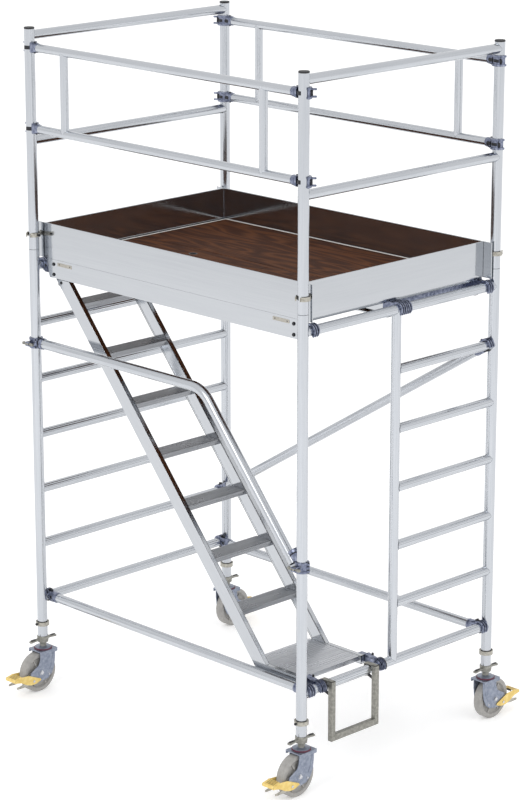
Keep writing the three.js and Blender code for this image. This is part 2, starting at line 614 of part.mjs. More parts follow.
// A sloping channel with a level foot, and a claw at each end, on one side of the treads.
function stringer(faceY, outward) {
  const ys = span(faceY, faceY + outward * STRINGER_WIDTH);
  const slope = at(Math.cos(STAIR_SLOPE), 0, -Math.sin(STAIR_SLOPE));
  const drop = STRINGER_DEPTH / Math.sin(STAIR_SLOPE);
  const upperX = (z) => TOP_NOSING_X - (z - treadZ(1)) / Math.tan(STAIR_SLOPE);
  const topZ = RAIL_BOTTOM_Z - STRINGER_HEADROOM;
  const footTop = LANDING_Z - GAP;
  const footLow = LANDING_Z - STRINGER_FOOT_DEPTH;
  const footEnd = LANDING_FRONT_X + STRINGER_FOOT_OVERRUN;
  const outline = [
    [upperX(footLow) - drop, footLow],
    [footEnd, footLow],
    [footEnd, footTop],
    [upperX(footTop), footTop],
    [upperX(topZ), topZ],
    [upperX(topZ) - drop, topZ],
  ];
  const from = at(upperX(topZ) - drop / 2, faceY, topZ).addScaledVector(slope, STRINGER_FOOT_DEPTH);
  const to = at(upperX(footTop) - drop / 2, faceY, footTop).addScaledVector(slope, -2 * CLAW_SOCKET);
  const channel = cut(prism("Y", outline, ...ys), slopedPocket(from, to, faceY, outward));
  const lowClaw = stairFootClaw(ys[1], footEnd, footLow, footTop);
  const highClaw = stairTopClaw(ys[1], upperX(topZ) - drop, topZ);
  return join(channel, lowClaw, highClaw);
}

function slopedPocket(from, to, faceY, outward) {
  const length = from.distanceTo(to);
  const height = STRINGER_DEPTH - 2 * STRINGER_WALL;
  const width = 2 * (STRINGER_WIDTH - STRINGER_WALL);
  const box = new THREE.BoxGeometry(length, width, height);
  box.rotateY(STAIR_SLOPE);
  const middle = from.clone().add(to).multiplyScalar(0.5);
  return solid(box.translate(middle.x, faceY - outward * GAP, middle.z));
}

// Both stair claws are bolted to the +Y face of their stringer.
function stairFootClaw(faceY, footEnd, footLow, footTop) {
  const ys = [faceY - 1, faceY + STAIR_CLAW_WIDTH];
  const { hook, grip } = rungHook(POST_X, ys, FIRST_RUNG_Z);
  const wide = [faceY, ys[1] + 1];
  const landing = block([footEnd - 3 * CLAW_REACH, footEnd - CLAW_MOUTH + 1], wide, [0, DECK_Z]);
  const arm = block([footEnd - CLAW_REACH, POST_X], ys, [footLow + 2, footTop + CLAW_MOUTH]);
  const underX = [POST_X - RUNG_RADIUS - 1, POST_X + 2 * CLAW_WIDTH];
  const under = block(underX, [ys[0] - 1, ys[1] + 1], [0, FIRST_RUNG_Z - CLAW_MOUTH]);
  return cut(join(hook, arm), landing, grip, under);
}

function stairTopClaw(faceY, stringerX, stringerZ) {
  const ys = [faceY - 1, faceY + STAIR_TOP_CLAW_WIDTH];
  const { hook, grip } = rungHook(-POST_X, ys, TOP_RUNG_Z);
  const nearX = stringerX + CLAW_WALL;
  const farX = stringerX + STRINGER_DEPTH;
  const plateLow = stringerZ - 2 * STRINGER_WIDTH;
  const outline = [
    [nearX, plateLow],
    [farX, plateLow],
    [farX, stringerZ - STRINGER_WALL],
    [-POST_X + RUNG_RADIUS, TOP_RUNG_Z + RUNG_RADIUS - 2],
    [-POST_X - CLAW_SOCKET, TOP_RUNG_Z],
    [-POST_X, TOP_RUNG_Z - PLATFORM_ARM_DROP],
  ];
  const arm = prism("Y", outline, ...ys);
  const underX = [-POST_X - 2 * CLAW_WIDTH, -POST_X + RUNG_RADIUS + 1];
  const under = block(underX, [ys[0] - 1, ys[1] + 1], [0, TOP_RUNG_Z - CLAW_MOUTH]);
  return cut(join(hook, arm), grip, under);
}

// ---------------------------------------------------------------- handrail
// A path through given points, one sweep step to each stretch between two of them.
class StretchPath extends THREE.Curve {
  constructor(points) {
    super();
    this.points = points;
  }
  getPoint(t) {
    const last = this.points.length - 1;
    const step = Math.min(Math.floor(t * last), last - 1);
    return this.points[step].clone().lerp(this.points[step + 1], t * last - step);
  }
  getPointAt(u) {
    return this.getPoint(u);
  }
  getTangentAt(u) {
    return this.getTangent(u);
  }
}

function roundSection(radius) {
  const section = new THREE.Shape();
  for (let i = 0; i < TUBE_SIDES; i++) {
    const angle = (2 * Math.PI * i) / TUBE_SIDES;
    const corner = [radius * Math.cos(angle), radius * Math.sin(angle)];
    if (i === 0) section.moveTo(...corner);
    else section.lineTo(...corner);
  }
  section.closePath();
  return section;
}

const KNEE_X =
  TOP_NOSING_X + (treadZ(1) + HANDRAIL_OVER_NOSINGS - HANDRAIL_Z) / Math.tan(STAIR_SLOPE);
const HANDRAIL_END_X = POST_X - COUPLER_REACH;
const HANDRAIL_END_Z = HANDRAIL_Z - Math.tan(STAIR_SLOPE) * (HANDRAIL_END_X - KNEE_X);

// A level run from the left post, a swept knee, and a slope parallel to the stair.
function handrail() {
  const slope = at(Math.cos(STAIR_SLOPE), 0, -Math.sin(STAIR_SLOPE));
  const knee = at(KNEE_X, -POST_Y, HANDRAIL_Z);
  const tangent = HANDRAIL_BEND * Math.tan(STAIR_SLOPE / 2);
  const bendStart = knee.clone().addScaledVector(ALONG_X, -tangent);
  const bendEnd = knee.clone().addScaledVector(slope, tangent);
  const curve = new THREE.QuadraticBezierCurve3(bendStart, knee, bendEnd);
  const bend = curve.getPoints(HANDRAIL_BEND_STEPS);
  const overrun = 2 * HANDRAIL_RADIUS;
  const first = at(-HANDRAIL_END_X - overrun, -POST_Y, HANDRAIL_Z);
  const end = at(HANDRAIL_END_X, -POST_Y, HANDRAIL_END_Z);
  const last = end.addScaledVector(slope, overrun);
  const swept = (radius) => {
    const extrudePath = new StretchPath([first, ...bend, last]);
    const steps = bend.length + 1;
    return solid(new THREE.ExtrudeGeometry(roundSection(radius), { steps, extrudePath }));
  };
  const tube = cut(swept(HANDRAIL_RADIUS), swept(HANDRAIL_RADIUS - HANDRAIL_WALL));
  const trims = [-1, 1].map((side) => {
    const xs = span(side * (HANDRAIL_END_X - GAP), side * (HANDRAIL_END_X + 4 * overrun));
    return block(xs, about(-POST_Y, 2 * overrun), [0, POST_TOP_Z]);
  });
  return cut(tube, trims);
}

// A hinged ring round a post, with a neck that plugs the handrail, a bolt lug and a wing nut.
function handrailCoupler(side, z) {
  const x = side * POST_X;
  const half = COUPLER_HEIGHT / 2;
  const outer = POST_RADIUS + COUPLER_WALL;
  const ring = rod(at(x, -POST_Y, z - half), at(x, -POST_Y, z + half), outer);
  const neckEnd = x - side * (COUPLER_REACH - GAP);
  const neck = rod(at(x, -POST_Y, z), at(neckEnd, -POST_Y, z), HANDRAIL_RADIUS - 1);
  const front = -POST_Y - outer;
  const [lugX, lugZ] = COUPLER_LUG_HALF;
  const [wingX, wingZ] = COUPLER_WING_HALF;
  const [wingNear, wingFar] = COUPLER_WING;
  const lug = block(about(x, lugX), [front - COUPLER_BOLT_REACH, -POST_Y], about(z, lugZ));
  const wings = block(about(x, wingX), [front - wingFar, front - wingNear], about(z, wingZ));
  const low = at(x, -POST_Y, z - 2 * half);
  const high = at(x, -POST_Y, z + 2 * half);
  return cut(join(ring, neck, lug, wings), clearRod(low, high, POST_RADIUS + GRIP_CLEARANCE));
}

// ---------------------------------------------------------------- hanging entry step
function entryStep() {
  const face = POST_X + RUNG_RADIUS + GRIP_CLEARANCE;
  const outerFace = face + STEP_LEG_DEPTH;
  const hookTop = FIRST_RUNG_Z + RUNG_RADIUS + GRIP_CLEARANCE;
  const foot = FIRST_RUNG_Z - STEP_DROP;
  const half = STEP_LEG_WIDTH / 2;
  const lipX = POST_X - RUNG_RADIUS - GRIP_CLEARANCE;
  const outerWall = [outerFace - STEP_WALL, outerFace];
  const upright = [foot, hookTop + STEP_WALL];
  const legYs = [STAIR_NEAR_Y + STEP_FIRST_LEG_INSET, STAIR_FAR_Y - half];
  const legs = legYs.map((y) => {
    const flangeY = y - half;
    const ys = about(y, half);
    return join(
      block(outerWall, ys, upright),
      block([face, outerFace], [flangeY, flangeY + STEP_WALL], upright),
      block([lipX - STEP_WALL, outerFace], ys, [hookTop, hookTop + STEP_WALL]),
      block([lipX - STEP_WALL, lipX], ys, [hookTop - STEP_HOOK_LIP, hookTop + 1]),
    );
  });
  const across = [legYs[0] + half - 1, legYs[1] - half + 1];
  const barTop = foot + STEP_BAR_HEIGHT;
  const riser = block(outerWall, across, [foot, barTop]);
  const shelf = block([face, outerFace], across, [barTop - STEP_WALL, barTop]);
  return join(legs, riser, shelf);
}

// ---------------------------------------------------------------- casters
// Each caster is drawn at the floor under its post, trailing towards -Y.
function casterWheel() {
  const bore = AXLE_RADIUS + AXLE_CLEARANCE;
  const half = CASTER_WHEEL_WIDTH / 2;
  const rim = CASTER_WHEEL_RADIUS - WHEEL_RIM_DEPTH;
  const web = half - WHEEL_DISH;
  const side = [
    [bore, half],
    [WHEEL_HUB_RADIUS, half],
    [WHEEL_HUB_RADIUS + 4, web],
    [rim - 4, web],
    [rim, half - 3],
    [CASTER_WHEEL_RADIUS - 5, half - 2],
    [CASTER_WHEEL_RADIUS, half - 7],
  ];
  const other = side.map(([r, h]) => [r, -h]);
  const profile = [...other, ...side.toReversed(), other[0]];
  const points = profile.map(([r, h]) => new THREE.Vector2(r, h));
  const geometry = new THREE.LatheGeometry(points, WHEEL_FACETS);
  geometry.rotateZ(-Math.PI / 2);
  return solid(geometry.translate(0, WHEEL_Y, CASTER_WHEEL_RADIUS));
}

// A folded plate under the post and two cheeks that sweep out round the wheel to the brake.
function casterFork() {
  const x = FORK_PLATE_X / 2;
  const y = FORK_PLATE_Y / 2;
  const cheekY = y - FORK_RIM_WALL;
  const [rimLow, top] = [FORK_PLATE_TOP_Z - FORK_RIM_DEPTH, FORK_PLATE_TOP_Z];
  const plate = block([-x, x], [-y, y], [FORK_PLATE_LOW_Z, top]);
  const rims = [-1, 1].map((side) =>
    block(span(side * x, side * (x - FORK_RIM_WALL)), [-y, y], [rimLow, top]),
  );
  const outline = [
    [cheekY, FORK_PLATE_LOW_Z + 1],
    [-CHEEK_THROAT, FORK_PLATE_LOW_Z + 1],
    [-CHEEK_THROAT, FORK_PLATE_LOW_Z - CHEEK_SKIRT],
    ...CHEEK_FOOT.map(([dy, dz]) => [WHEEL_Y + dy, CASTER_WHEEL_RADIUS + dz]),
    [cheekY, FORK_PLATE_LOW_Z - CHEEK_SKIRT],
  ];
  const solids = [-1, 1].flatMap((side) => {
    const out = side * CHEEK_OUTER_FACE;
    const pivotX = [side * (CHEEK_OUTER_FACE - 2), out + side * (PEDAL_WALL + AXLE_HEAD - 3)];
    const [from, to] = pivotX.map((px) => at(px, PEDAL_PIVOT.y, PEDAL_PIVOT.z));
    return [
      prism("X", outline, ...span(side * WHEEL_INNER_FACE, out)),
      rod(from, to, PIVOT_RADIUS),
    ];
  });
  const axleX = CHEEK_OUTER_FACE + AXLE_HEAD;
  const axle = rod(
    at(-axleX, WHEEL_Y, CASTER_WHEEL_RADIUS),
    at(axleX, WHEEL_Y, CASTER_WHEEL_RADIUS),
    AXLE_RADIUS,
  );
  const low = at(0, 0, FORK_PLATE_LOW_Z - FORK_RIM_WALL);
  const high = at(0, 0, top + FORK_RIM_WALL);
  const kingpin = clearRod(low, high, KINGPIN_RADIUS + PIN_CLEARANCE);
  return cut(join(plate, rims, solids, axle), kingpin);
}

// Threaded stem with its bearing flange and the kingpin that carries the fork.
function casterSpindle() {
  const up = (from, to, radius, sides) => rod(at(0, 0, from), at(0, 0, to), radius, sides);
  const seat = FORK_PLATE_TOP_Z + GAP;
  const ringTop = seat + FLANGE_THICKNESS;
  const flangeTop = ringTop + FLANGE_THICKNESS - 1;
  const low = FORK_PLATE_LOW_Z;
  const top = POST_FOOT_Z + SPINDLE_TRAVEL + SPINDLE_LEFT_IN_POST;
  const solids = [
    up(seat, ringTop, BEARING_RADIUS, 16),
    up(ringTop - 1, flangeTop, FLANGE_RADIUS, 16),
    up(ringTop - 1, top, SPINDLE_RADIUS),
    up(low - 5, ringTop - 1, KINGPIN_RADIUS),
    up(low - 6, low - GAP, KINGPIN_RADIUS + 3),
  ];
  return cut(join(solids), up(flangeTop + 9, top + 1, SPINDLE_RADIUS - SPINDLE_WALL));
}

function spindleNut() {
  const top = POST_FOOT_Z - GAP;
  const low = top - NUT_HEIGHT;
  const body = rod(at(0, 0, low), at(0, 0, top), NUT_RADIUS);
  const armZ = [low + NUT_ARM_LIFT, low + NUT_ARM_LIFT + NUT_ARM_THICKNESS];
  const arms = block(about(0, NUT_ARM_WIDTH / 2), about(0, NUT_ARM_SPAN / 2), armZ);
  const from = at(0, 0, low - 1);
  const to = at(0, 0, top + 1);
  return cut(join(body, arms), clearRod(from, to, SPINDLE_RADIUS + PIN_CLEARANCE));
}

// A stirrup round the wheel: two side arms on the fork's pivots and a tread at their end.
function brakePedal() {
  const inner = CHEEK_OUTER_FACE + PIN_CLEARANCE;
  const outer = inner + PEDAL_WALL;
  const { y, z } = PEDAL_PIVOT;
  const edge = y - CASTER_WHEEL_RADIUS - PEDAL_PAST_WHEEL;
  const treadStart = edge + PEDAL_TREAD;
  const top = z + PEDAL_RISE;
  const lipLow = top - PEDAL_LIP;
  const outline = [
    [y + 50, z - 6],
    [y + 44, z + 4],
    [y - 31, z + 36],
    [treadStart, top],
    [edge, top],
    [edge, lipLow],
    [treadStart - 4, lipLow - 8],
    [y - 46, z - 8],
    [y - 18, z - 18],
    [y + 14, z - 18],
  ];
  const arms = [-1, 1].map((side) => prism("X", outline, ...span(side * inner, side * outer)));
  const tread = block([-outer, outer], [edge, treadStart], [top - PEDAL_WALL, top]);
  const lip = block([-outer, outer], [edge, edge + PEDAL_WALL], [lipLow, top]);
  const hole = clearRod(at(-2 * outer, y, z), at(2 * outer, y, z), PIVOT_RADIUS + PIN_CLEARANCE);
  return cut(join(arms, tread, lip), hole);
}

// ---------------------------------------------------------------- assembly
addPart("base_frame_left", baseFrameLeft(), ALUMINIUM);
addPart("base_frame_portal", baseFrameRight(), ALUMINIUM);
addPart("guard_frame_left", guardFrame(-POST_X), ALUMINIUM);
addPart("guard_frame_right", guardFrame(POST_X), ALUMINIUM);

const CORNERS = [
  { name: "front_left", x: -POST_X, y: -POST_Y },
  { name: "front_right", x: POST_X, y: -POST_Y },
  { name: "rear_left", x: -POST_X, y: POST_Y },
  { name: "rear_right", x: POST_X, y: POST_Y },
];
for (const { name, x, y } of CORNERS) {
  addPart(`end_cap_${name}`, endCap(x, y), CAP_BLACK);
  addPart(`frame_lock_clip_${name}`, jointClip(x, y, FRAME_SEAM_Z + CLIP_RISE), CLIP_STEEL);
  const caster = new THREE.Group();
  caster.position.set(x, y, 0);
  caster.rotation.z = y > 0 ? Math.PI : 0;
  addPart(`caster_spindle_${name}`, casterSpindle(), GALVANISED, caster);
  addPart(`spindle_nut_${name}`, spindleNut(), GALVANISED, caster);
  addPart(`caster_fork_${name}`, casterFork(), FORK_STEEL, caster);
  addPart(`caster_wheel_${name}`, casterWheel(), WHEEL_GREY, caster);
  addPart(`brake_pedal_${name}`, brakePedal(), PEDAL_YELLOW, caster);
  group.add(caster);
}

for (const [name, side] of [["front", -1], ["rear", 1]]) {
  const start = at(-POST_X, side * BRACE_Y, FIRST_RUNG_Z);
  const end = at(POST_X, side * BRACE_Y, FIRST_RUNG_Z);
  addPart(`bottom_rail_${name}`, clawedBrace(start, end), ALUMINIUM);
  addPart(`double_guard_rail_${name}`, doubleGuardRail(side * POST_Y), ALUMINIUM);
  addPart(`toe_board_${name}`, sideToeBoard(side), ALUMINIUM);
}
const [diagonalLow, diagonalHigh] = DIAGONAL_RUNGS.map(rungZ);
const diagonal = clawedBrace(
  at(-POST_X, BRACE_Y, diagonalLow),
  at(POST_X, BRACE_Y, diagonalHigh),
);
addPart("diagonal_brace_rear", diagonal, ALUMINIUM);
addPart("toe_board_left", endToeBoard(-1), ALUMINIUM);
addPart("toe_board_right", endToeBoard(1), ALUMINIUM);

const hatchBeamX = HATCH_END_X + CROSS_BEAM_WIDTH / 2 - HATCH_LEDGE;
const frontBeamX = DECK_HALF_LENGTH - FRONT_BEAM_INSET;
const rearBeamX = DECK_HALF_LENGTH - REAR_BEAM_INSET;
const frontPanel = deckPanel(-1, HATCH_END_X + HATCH_PANEL_GAP, DECK_HALF_LENGTH);
const rearPanel = deckPanel(1, -DECK_HALF_LENGTH, DECK_HALF_LENGTH);
addPart("platform_frame_front", platformFrame(-1, [hatchBeamX, frontBeamX]), ALUMINIUM);
addPart("platform_frame_rear", platformFrame(1, [-rearBeamX, rearBeamX]), ALUMINIUM);
addPart("deck_panel_front", frontPanel, PLYWOOD);
addPart("deck_panel_rear", rearPanel, PLYWOOD);
addPart("hatch_lid", hatchLid(), PLYWOOD);

addPart("stair_stringer_front", stringer(STAIR_NEAR_Y, -1), ALUMINIUM);
addPart("stair_stringer_rear", stringer(STAIR_FAR_Y, 1), ALUMINIUM);
for (let number = 1; number <= STAIR_TREADS; number++) {
  const tread = foldedPlate(nosingX(number), TREAD_DEPTH, treadZ(number));
  addPart(`stair_tread_${number}`, tread, ALUMINIUM);
}
addPart("stair_landing", foldedPlate(LANDING_FRONT_X, LANDING_LENGTH, LANDING_Z), ALUMINIUM);

addPart("handrail", handrail(), ALUMINIUM);
addPart("handrail_coupler_upper", handrailCoupler(-1, HANDRAIL_Z), CASTING);
addPart("handrail_coupler_lower", handrailCoupler(1, HANDRAIL_END_Z), CASTING);
addPart("entry_step", entryStep(), GALVANISED);

export default group;
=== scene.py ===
# %% [markdown]
# # A rolling access tower
#
# The tower is welded and clawed together from aluminium tube: two ladder frames with guard
# frames plugged on top, braces, a pair of timber decks with toe boards, a stair and four braked
# casters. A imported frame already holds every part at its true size. This lesson dresses that
# frame: it makes finely shaped pieces for the tubes, castings and casters, keeps the flat
# parts that are right already, and gives each surface the finish that the real one has.

from math import acos, atan2, cos, degrees, pi, radians, sin, sqrt, tan

import bmesh
import bpy
from mathutils import Matrix, Vector


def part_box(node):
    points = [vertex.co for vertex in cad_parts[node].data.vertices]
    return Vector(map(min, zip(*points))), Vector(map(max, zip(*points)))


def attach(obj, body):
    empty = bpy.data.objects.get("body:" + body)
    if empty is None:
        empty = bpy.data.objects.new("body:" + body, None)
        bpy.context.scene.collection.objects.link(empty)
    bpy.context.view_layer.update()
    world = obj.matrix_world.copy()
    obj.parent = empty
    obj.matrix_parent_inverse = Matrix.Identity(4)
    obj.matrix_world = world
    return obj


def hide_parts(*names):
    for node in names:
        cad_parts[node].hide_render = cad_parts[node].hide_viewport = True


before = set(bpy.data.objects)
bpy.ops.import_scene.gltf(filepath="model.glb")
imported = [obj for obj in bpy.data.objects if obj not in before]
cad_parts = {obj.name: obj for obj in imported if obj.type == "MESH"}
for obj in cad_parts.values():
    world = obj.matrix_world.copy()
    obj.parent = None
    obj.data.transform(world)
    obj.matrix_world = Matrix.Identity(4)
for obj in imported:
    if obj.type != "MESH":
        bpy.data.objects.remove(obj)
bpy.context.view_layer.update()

# %% [markdown]
# ## Working in millimetres
#
# Tube and sheet sizes are known in millimetres, and Blender works in metres. Every shape below
# is worked out in millimetres and scaled once, when its mesh is made. The places of posts,
# rungs and decks are read from the frame, so the new pieces sit where the frame's do.

# %% Places read from the frame
MM = 0.001


def box_mm(node):
    low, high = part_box(node)
    return low / MM, high / MM


def middle_mm(node):
    low, high = box_mm(node)
    return (low + high) / 2


POST_X = middle_mm("base_frame_portal").x
POST_Y = middle_mm("end_cap_rear_right").y
POST_FOOT_Z = box_mm("base_frame_left")[0].z
SEAM_Z = box_mm("base_frame_left")[1].z
POST_TOP_Z = box_mm("guard_frame_left")[1].z
FIRST_RUNG_Z = middle_mm("bottom_rail_front").z
BRACE_Y = middle_mm("bottom_rail_rear").y
DECK_Z = box_mm("deck_panel_rear")[1].z
PLATFORM_Y = box_mm("platform_frame_rear")[1].y
CORNERS = {
    "front_left": (-1, -1),
    "front_right": (1, -1),
    "rear_left": (-1, 1),
    "rear_right": (1, 1),
}
print("posts at", round(POST_X), round(POST_Y), "deck at", round(DECK_Z))

# %% [markdown]
# ## Stock sizes
#
# A tower is cut from a few kinds of tube, so a few values set most of it. They are written once
# here. What sits on a tube takes its size from these values and one working clearance.

# %% Sizes of the stock that the tower is made from
POST_RADIUS = 25
POST_WALL = 2.5
RUNG_RADIUS = 22.5
RUNG_PITCH = 280
RUNG_COUNT = 7
TOP_RUNG_Z = FIRST_RUNG_Z + (RUNG_COUNT - 1) * RUNG_PITCH
DOOR_POST_Y = -35
GUARD_END_RAIL_DROP = (530, 31)
GUARD_TUBE_RADIUS = 20
FINGER_SPREAD = 32
FINGER_TURN = 0.7
GUARD_UPRIGHT_RADIUS = 19.5
GUARD_UPRIGHT_INSET = 245
POST_CLAW_WIDTH = 50
CLAW_WIDTH = 34
CLAW_REACH = 62
CLEARANCE = 0.6
FLUTE_DEPTH = 0.9
SIDES = 56
print("post", 2 * POST_RADIUS, "mm, rung", 2 * RUNG_RADIUS, "mm, pitch", RUNG_PITCH, "mm")

# %% [markdown]
# ## The camera
#
# A long lens far away keeps the posts almost parallel, as in a catalogue picture. The camera is
# placed by the point that it looks at, its turn round the tower and its height above level.

# %% Camera
AIM = Vector((0.2795, -0.2655, 1.6598))
AZIMUTH = radians(45.48)
ELEVATION = radians(15.807)
DISTANCE = 13.0

camera_data = bpy.data.cameras.new("camera")
camera_data.lens = 126.2
camera_data.sensor_width = 36
camera_data.clip_end = 500
camera = bpy.data.objects.new("camera", camera_data)
back = Vector((
    sin(AZIMUTH) * cos(ELEVATION),
    -cos(AZIMUTH) * cos(ELEVATION),
    sin(ELEVATION),
))
camera.location = AIM + back * DISTANCE
camera.rotation_euler = back.to_track_quat("Z", "Y").to_euler()
bpy.context.scene.collection.objects.link(camera)
bpy.context.scene.camera = camera
print("camera at", tuple(round(v, 2) for v in camera.location))

# %% [markdown]
# ## Building shapes from rings
#
# Nearly every part here is a row of rings: a tube is two rings, a turned collar is a ring for
# each step of its profile, and a sawn plate is its outline repeated at both faces. A Shell
# gathers such lofts, and keeps a second set of coordinates beside the points. These run along
# the metal, so that drawing lines in a finish can follow each tube, whichever way it points.


# %% Shell: the points and faces of one piece
class Shell:
    def __init__(self):
        self.points = []
        self.faces = []
        self.flow = []

    def add(self, points, faces, flow):
        first = len(self.points)
        self.points.extend(points)
        self.flow.extend(flow)
        self.faces.extend([first + i for i in face] for face in faces)

    def merge(self, other, place):
        self.add([place @ p for p in other.points], other.faces, other.flow)


# %% [markdown]
# A tube can point any way, so the skin of a loft needs two directions at right angles to its
# length. They also give the second and third flow coordinates.


# %% Lofts and local frames
def side_axes(along):
    across = Vector((0, 1, 0)) if abs(along.z) > 0.9 else Vector((0, 0, 1))
    u = across.cross(along).normalized()
    return u, along.cross(u)


def loft(shell, rings, grain=(0, 0, 1), closed=False):
    """Skins a row of rings. A closed row joins its last ring to its first."""
    count = len(rings[0])
    points = [Vector(p) for ring in rings for p in ring]
    faces = []
    for i in range(len(rings) if closed else len(rings) - 1):
        a = i * count
        b = (i + 1) % len(rings) * count
        for j in range(count):
            k = (j + 1) % count
            faces.append((a + j, a + k, b + k, b + j))
    if not closed:
        faces.append(tuple(range(count)))
        faces.append(tuple(range(len(points) - count, len(points))))
    along = Vector(grain).normalized()
    u, v = side_axes(along)
    shell.add(points, faces, [Vector((p.dot(along), p.dot(u), p.dot(v))) for p in points])


def frame_at(origin, x_axis, z_axis):
    """A local frame: x along the first direction, z along the second."""
    x = Vector(x_axis).normalized()
    z = Vector(z_axis).normalized()
    y = z.cross(x)
    place = Matrix((x, y, z)).transposed().to_4x4()
    place.translation = Vector(origin)
    return place


# A side view is drawn as (x, z), and its depth runs along y.
SIDE_VIEW = Matrix(((1, 0, 0, 0), (0, 0, 1, 0), (0, 1, 0, 0), (0, 0, 0, 1)))


def end_view(side=1):
    """For outlines drawn as (y, z), with their depth running along x to the given side."""
    return Matrix(((0, 0, side, 0), (1, 0, 0, 0), (0, 1, 0, 0), (0, 0, 0, 1)))


# %% [markdown]
# Three ways of making stock cover nearly everything: a lathe for what is turned, a plate for
# what is cut from flat metal, and a block for what is sawn square.


# %% Turned, cut and sawn shapes
def circle(radius, z=0, count=SIDES):
    turn = 2 * pi / count
    return [Vector((radius * cos(i * turn), radius * sin(i * turn), z)) for i in range(count)]


def lathe(shell, profile, place, count=40, closed=False):
    """Turns a profile of (radius, height) points round the local z axis."""
    rings = [[place @ p for p in circle(radius, z, count)] for radius, z in profile]
    loft(shell, rings, place.to_3x3() @ Vector((0, 0, 1)), closed)


def plate(shell, outline, low, high, place, grain=(1, 0, 0)):
    """Saws a flat outline of (x, y) points from stock that runs from low to high along z."""
    rings = [[place @ Vector((x, y, z)) for x, y in outline] for z in (low, high)]
    loft(shell, rings, place.to_3x3() @ Vector(grain))


def block(shell, x, y, z, grain=(1, 0, 0)):
    outline = [(x[0], y[0]), (x[1], y[0]), (x[1], y[1]), (x[0], y[1])]
    rings = [[Vector((a, b, c)) for a, b in outline] for c in z]
    loft(shell, rings, grain)


# %% [markdown]
# Outlines are short lists of corners. Their round stretches are arcs, so that a radius can be
# changed by itself.


# %% Outlines
def arc(x, y, radius, start, end, steps=8):
    angles = [radians(start + (end - start) * i / steps) for i in range(steps + 1)]
    return [(x + radius * cos(a), y + radius * sin(a)) for a in angles]


def slot_outline(length, width):
    """A strip with round ends."""
    half = width / 2
    reach = length / 2 - half
    return arc(reach, 0, half, -90, 90) + arc(-reach, 0, half, 90, 270)


def rounded(corners, radius, steps=5):
    """Rounds each corner of a polygon with a fillet of the given radius."""
    outline = []
    for i, corner in enumerate(corners):
        here = Vector(corner)
        before = (Vector(corners[i - 1]) - here).normalized()
        after = (Vector(corners[(i + 1) % len(corners)]) - here).normalized()
        half = acos(max(-1, min(1, before.dot(after)))) / 2
        setback = radius / tan(half)
        start = here + before * setback
        end = here + after * setback
        for step in range(steps + 1):
            t = step / steps
            curve = start * (1 - t) ** 2 + here * 2 * t * (1 - t) + end * t ** 2
            outline.append((curve.x, curve.y))
    return outline


# %% [markdown]
# Real edges are never perfectly sharp, and a small radius catches a line of light. A bevel
# modifier rounds the edges that are sharper than an angle, and leaves smooth surfaces alone.
# Each piece also says which body it moves with and which part of the frame it stands for.


# %% Turning a shell into a piece
SHARP_ANGLE = radians(32)


def piece(name, shell, material, body="tower", stands_for=(), bevel=0, steps=2):
    mesh = bpy.data.meshes.new(name)
    mesh.from_pydata([p * MM for p in shell.points], [], shell.faces)
    flow = mesh.attributes.new("flow", "FLOAT_VECTOR", "POINT")
    flow.data.foreach_set("vector", [value for point in shell.flow for value in point])
    work = bmesh.new()
    work.from_mesh(mesh)
    bmesh.ops.recalc_face_normals(work, faces=work.faces)
    work.to_mesh(mesh)
    work.free()
    mesh.polygons.foreach_set("use_smooth", [True] * len(mesh.polygons))
    mesh.materials.append(material)
    made = bpy.data.objects.new(name, mesh)
    bpy.context.scene.collection.objects.link(made)
    if bevel:
        edge = made.modifiers.new("worn_edges", "BEVEL")
        edge.width = bevel * MM
        edge.segments = steps
        edge.limit_method = "ANGLE"
        edge.angle_limit = SHARP_ANGLE
        edge.harden_normals = True
        edge.use_clamp_overlap = True
    else:
        mesh.set_sharp_from_angle(angle=SHARP_ANGLE)
    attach(made, body)
    if stands_for:
        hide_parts(*stands_for)
    print(f"{name}: {len(mesh.vertices)} points")
    return made


# %% [markdown]
# ## Finishes
#
# A finish starts from the real material. Colours are written as sRGB hex values, as a colour
# card gives them, and turned to linear light once. One small function adds a node, sets it up
# and links it. Patterns are sized in millimetres: a noise that repeats every s millimetres has
# a scale of 1 / s on the flow coordinates.


# %% Helpers for finishes
def linear(hex_colour):
    channels = [int(hex_colour[i:i + 2], 16) / 255 for i in (1, 3, 5)]
    curved = [c / 12.92 if c <= 0.04045 else ((c + 0.055) / 1.055) ** 2.4 for c in channels]
    return (*curved, 1.0)


def add_node(material, kind, inputs=None, **settings):
    node = material.node_tree.nodes.new(kind)
    for name, value in settings.items():
        setattr(node, name, value)
    for name, value in (inputs or {}).items():
        if isinstance(value, bpy.types.NodeSocket):
            material.node_tree.links.new(value, node.inputs[name])
        else:
            node.inputs[name].default_value = value
    return node


def start_finish(name, metallic, roughness):
    material = bpy.data.materials.new(name)
    material.use_nodes = True
    shader = material.node_tree.nodes["Principled BSDF"]
    shader.inputs["Metallic"].default_value = metallic
    shader.inputs["Roughness"].default_value = roughness
    return material, shader


# %% [markdown]
# A finish is rarely one value all over. The next helpers make a pattern, spread it over a range
# of values or colours, or turn it into a shallow relief.


# %% Helpers for patterns
def stretched(material, source, stretch, size):
    """A noise with features of the given size in mm, drawn out along the flow."""
    scale = (1 / (size * stretch), 1 / size, 1 / size)
    mapped = add_node(material, "ShaderNodeMapping", {"Vector": source, "Scale": scale})
    return add_node(
        material, "ShaderNodeTexNoise",
        {"Vector": mapped.outputs["Vector"], "Scale": 1.0, "Detail": 3.0, "Roughness": 0.55},
    ).outputs["Fac"]


def between(material, factor, low, high):
    """Spreads a 0 to 1 pattern over a range of values."""
    node = add_node(
        material, "ShaderNodeMapRange",
        {"Value": factor, "From Min": 0.3, "From Max": 0.7, "To Min": low, "To Max": high},
    )
    return node.outputs["Result"]


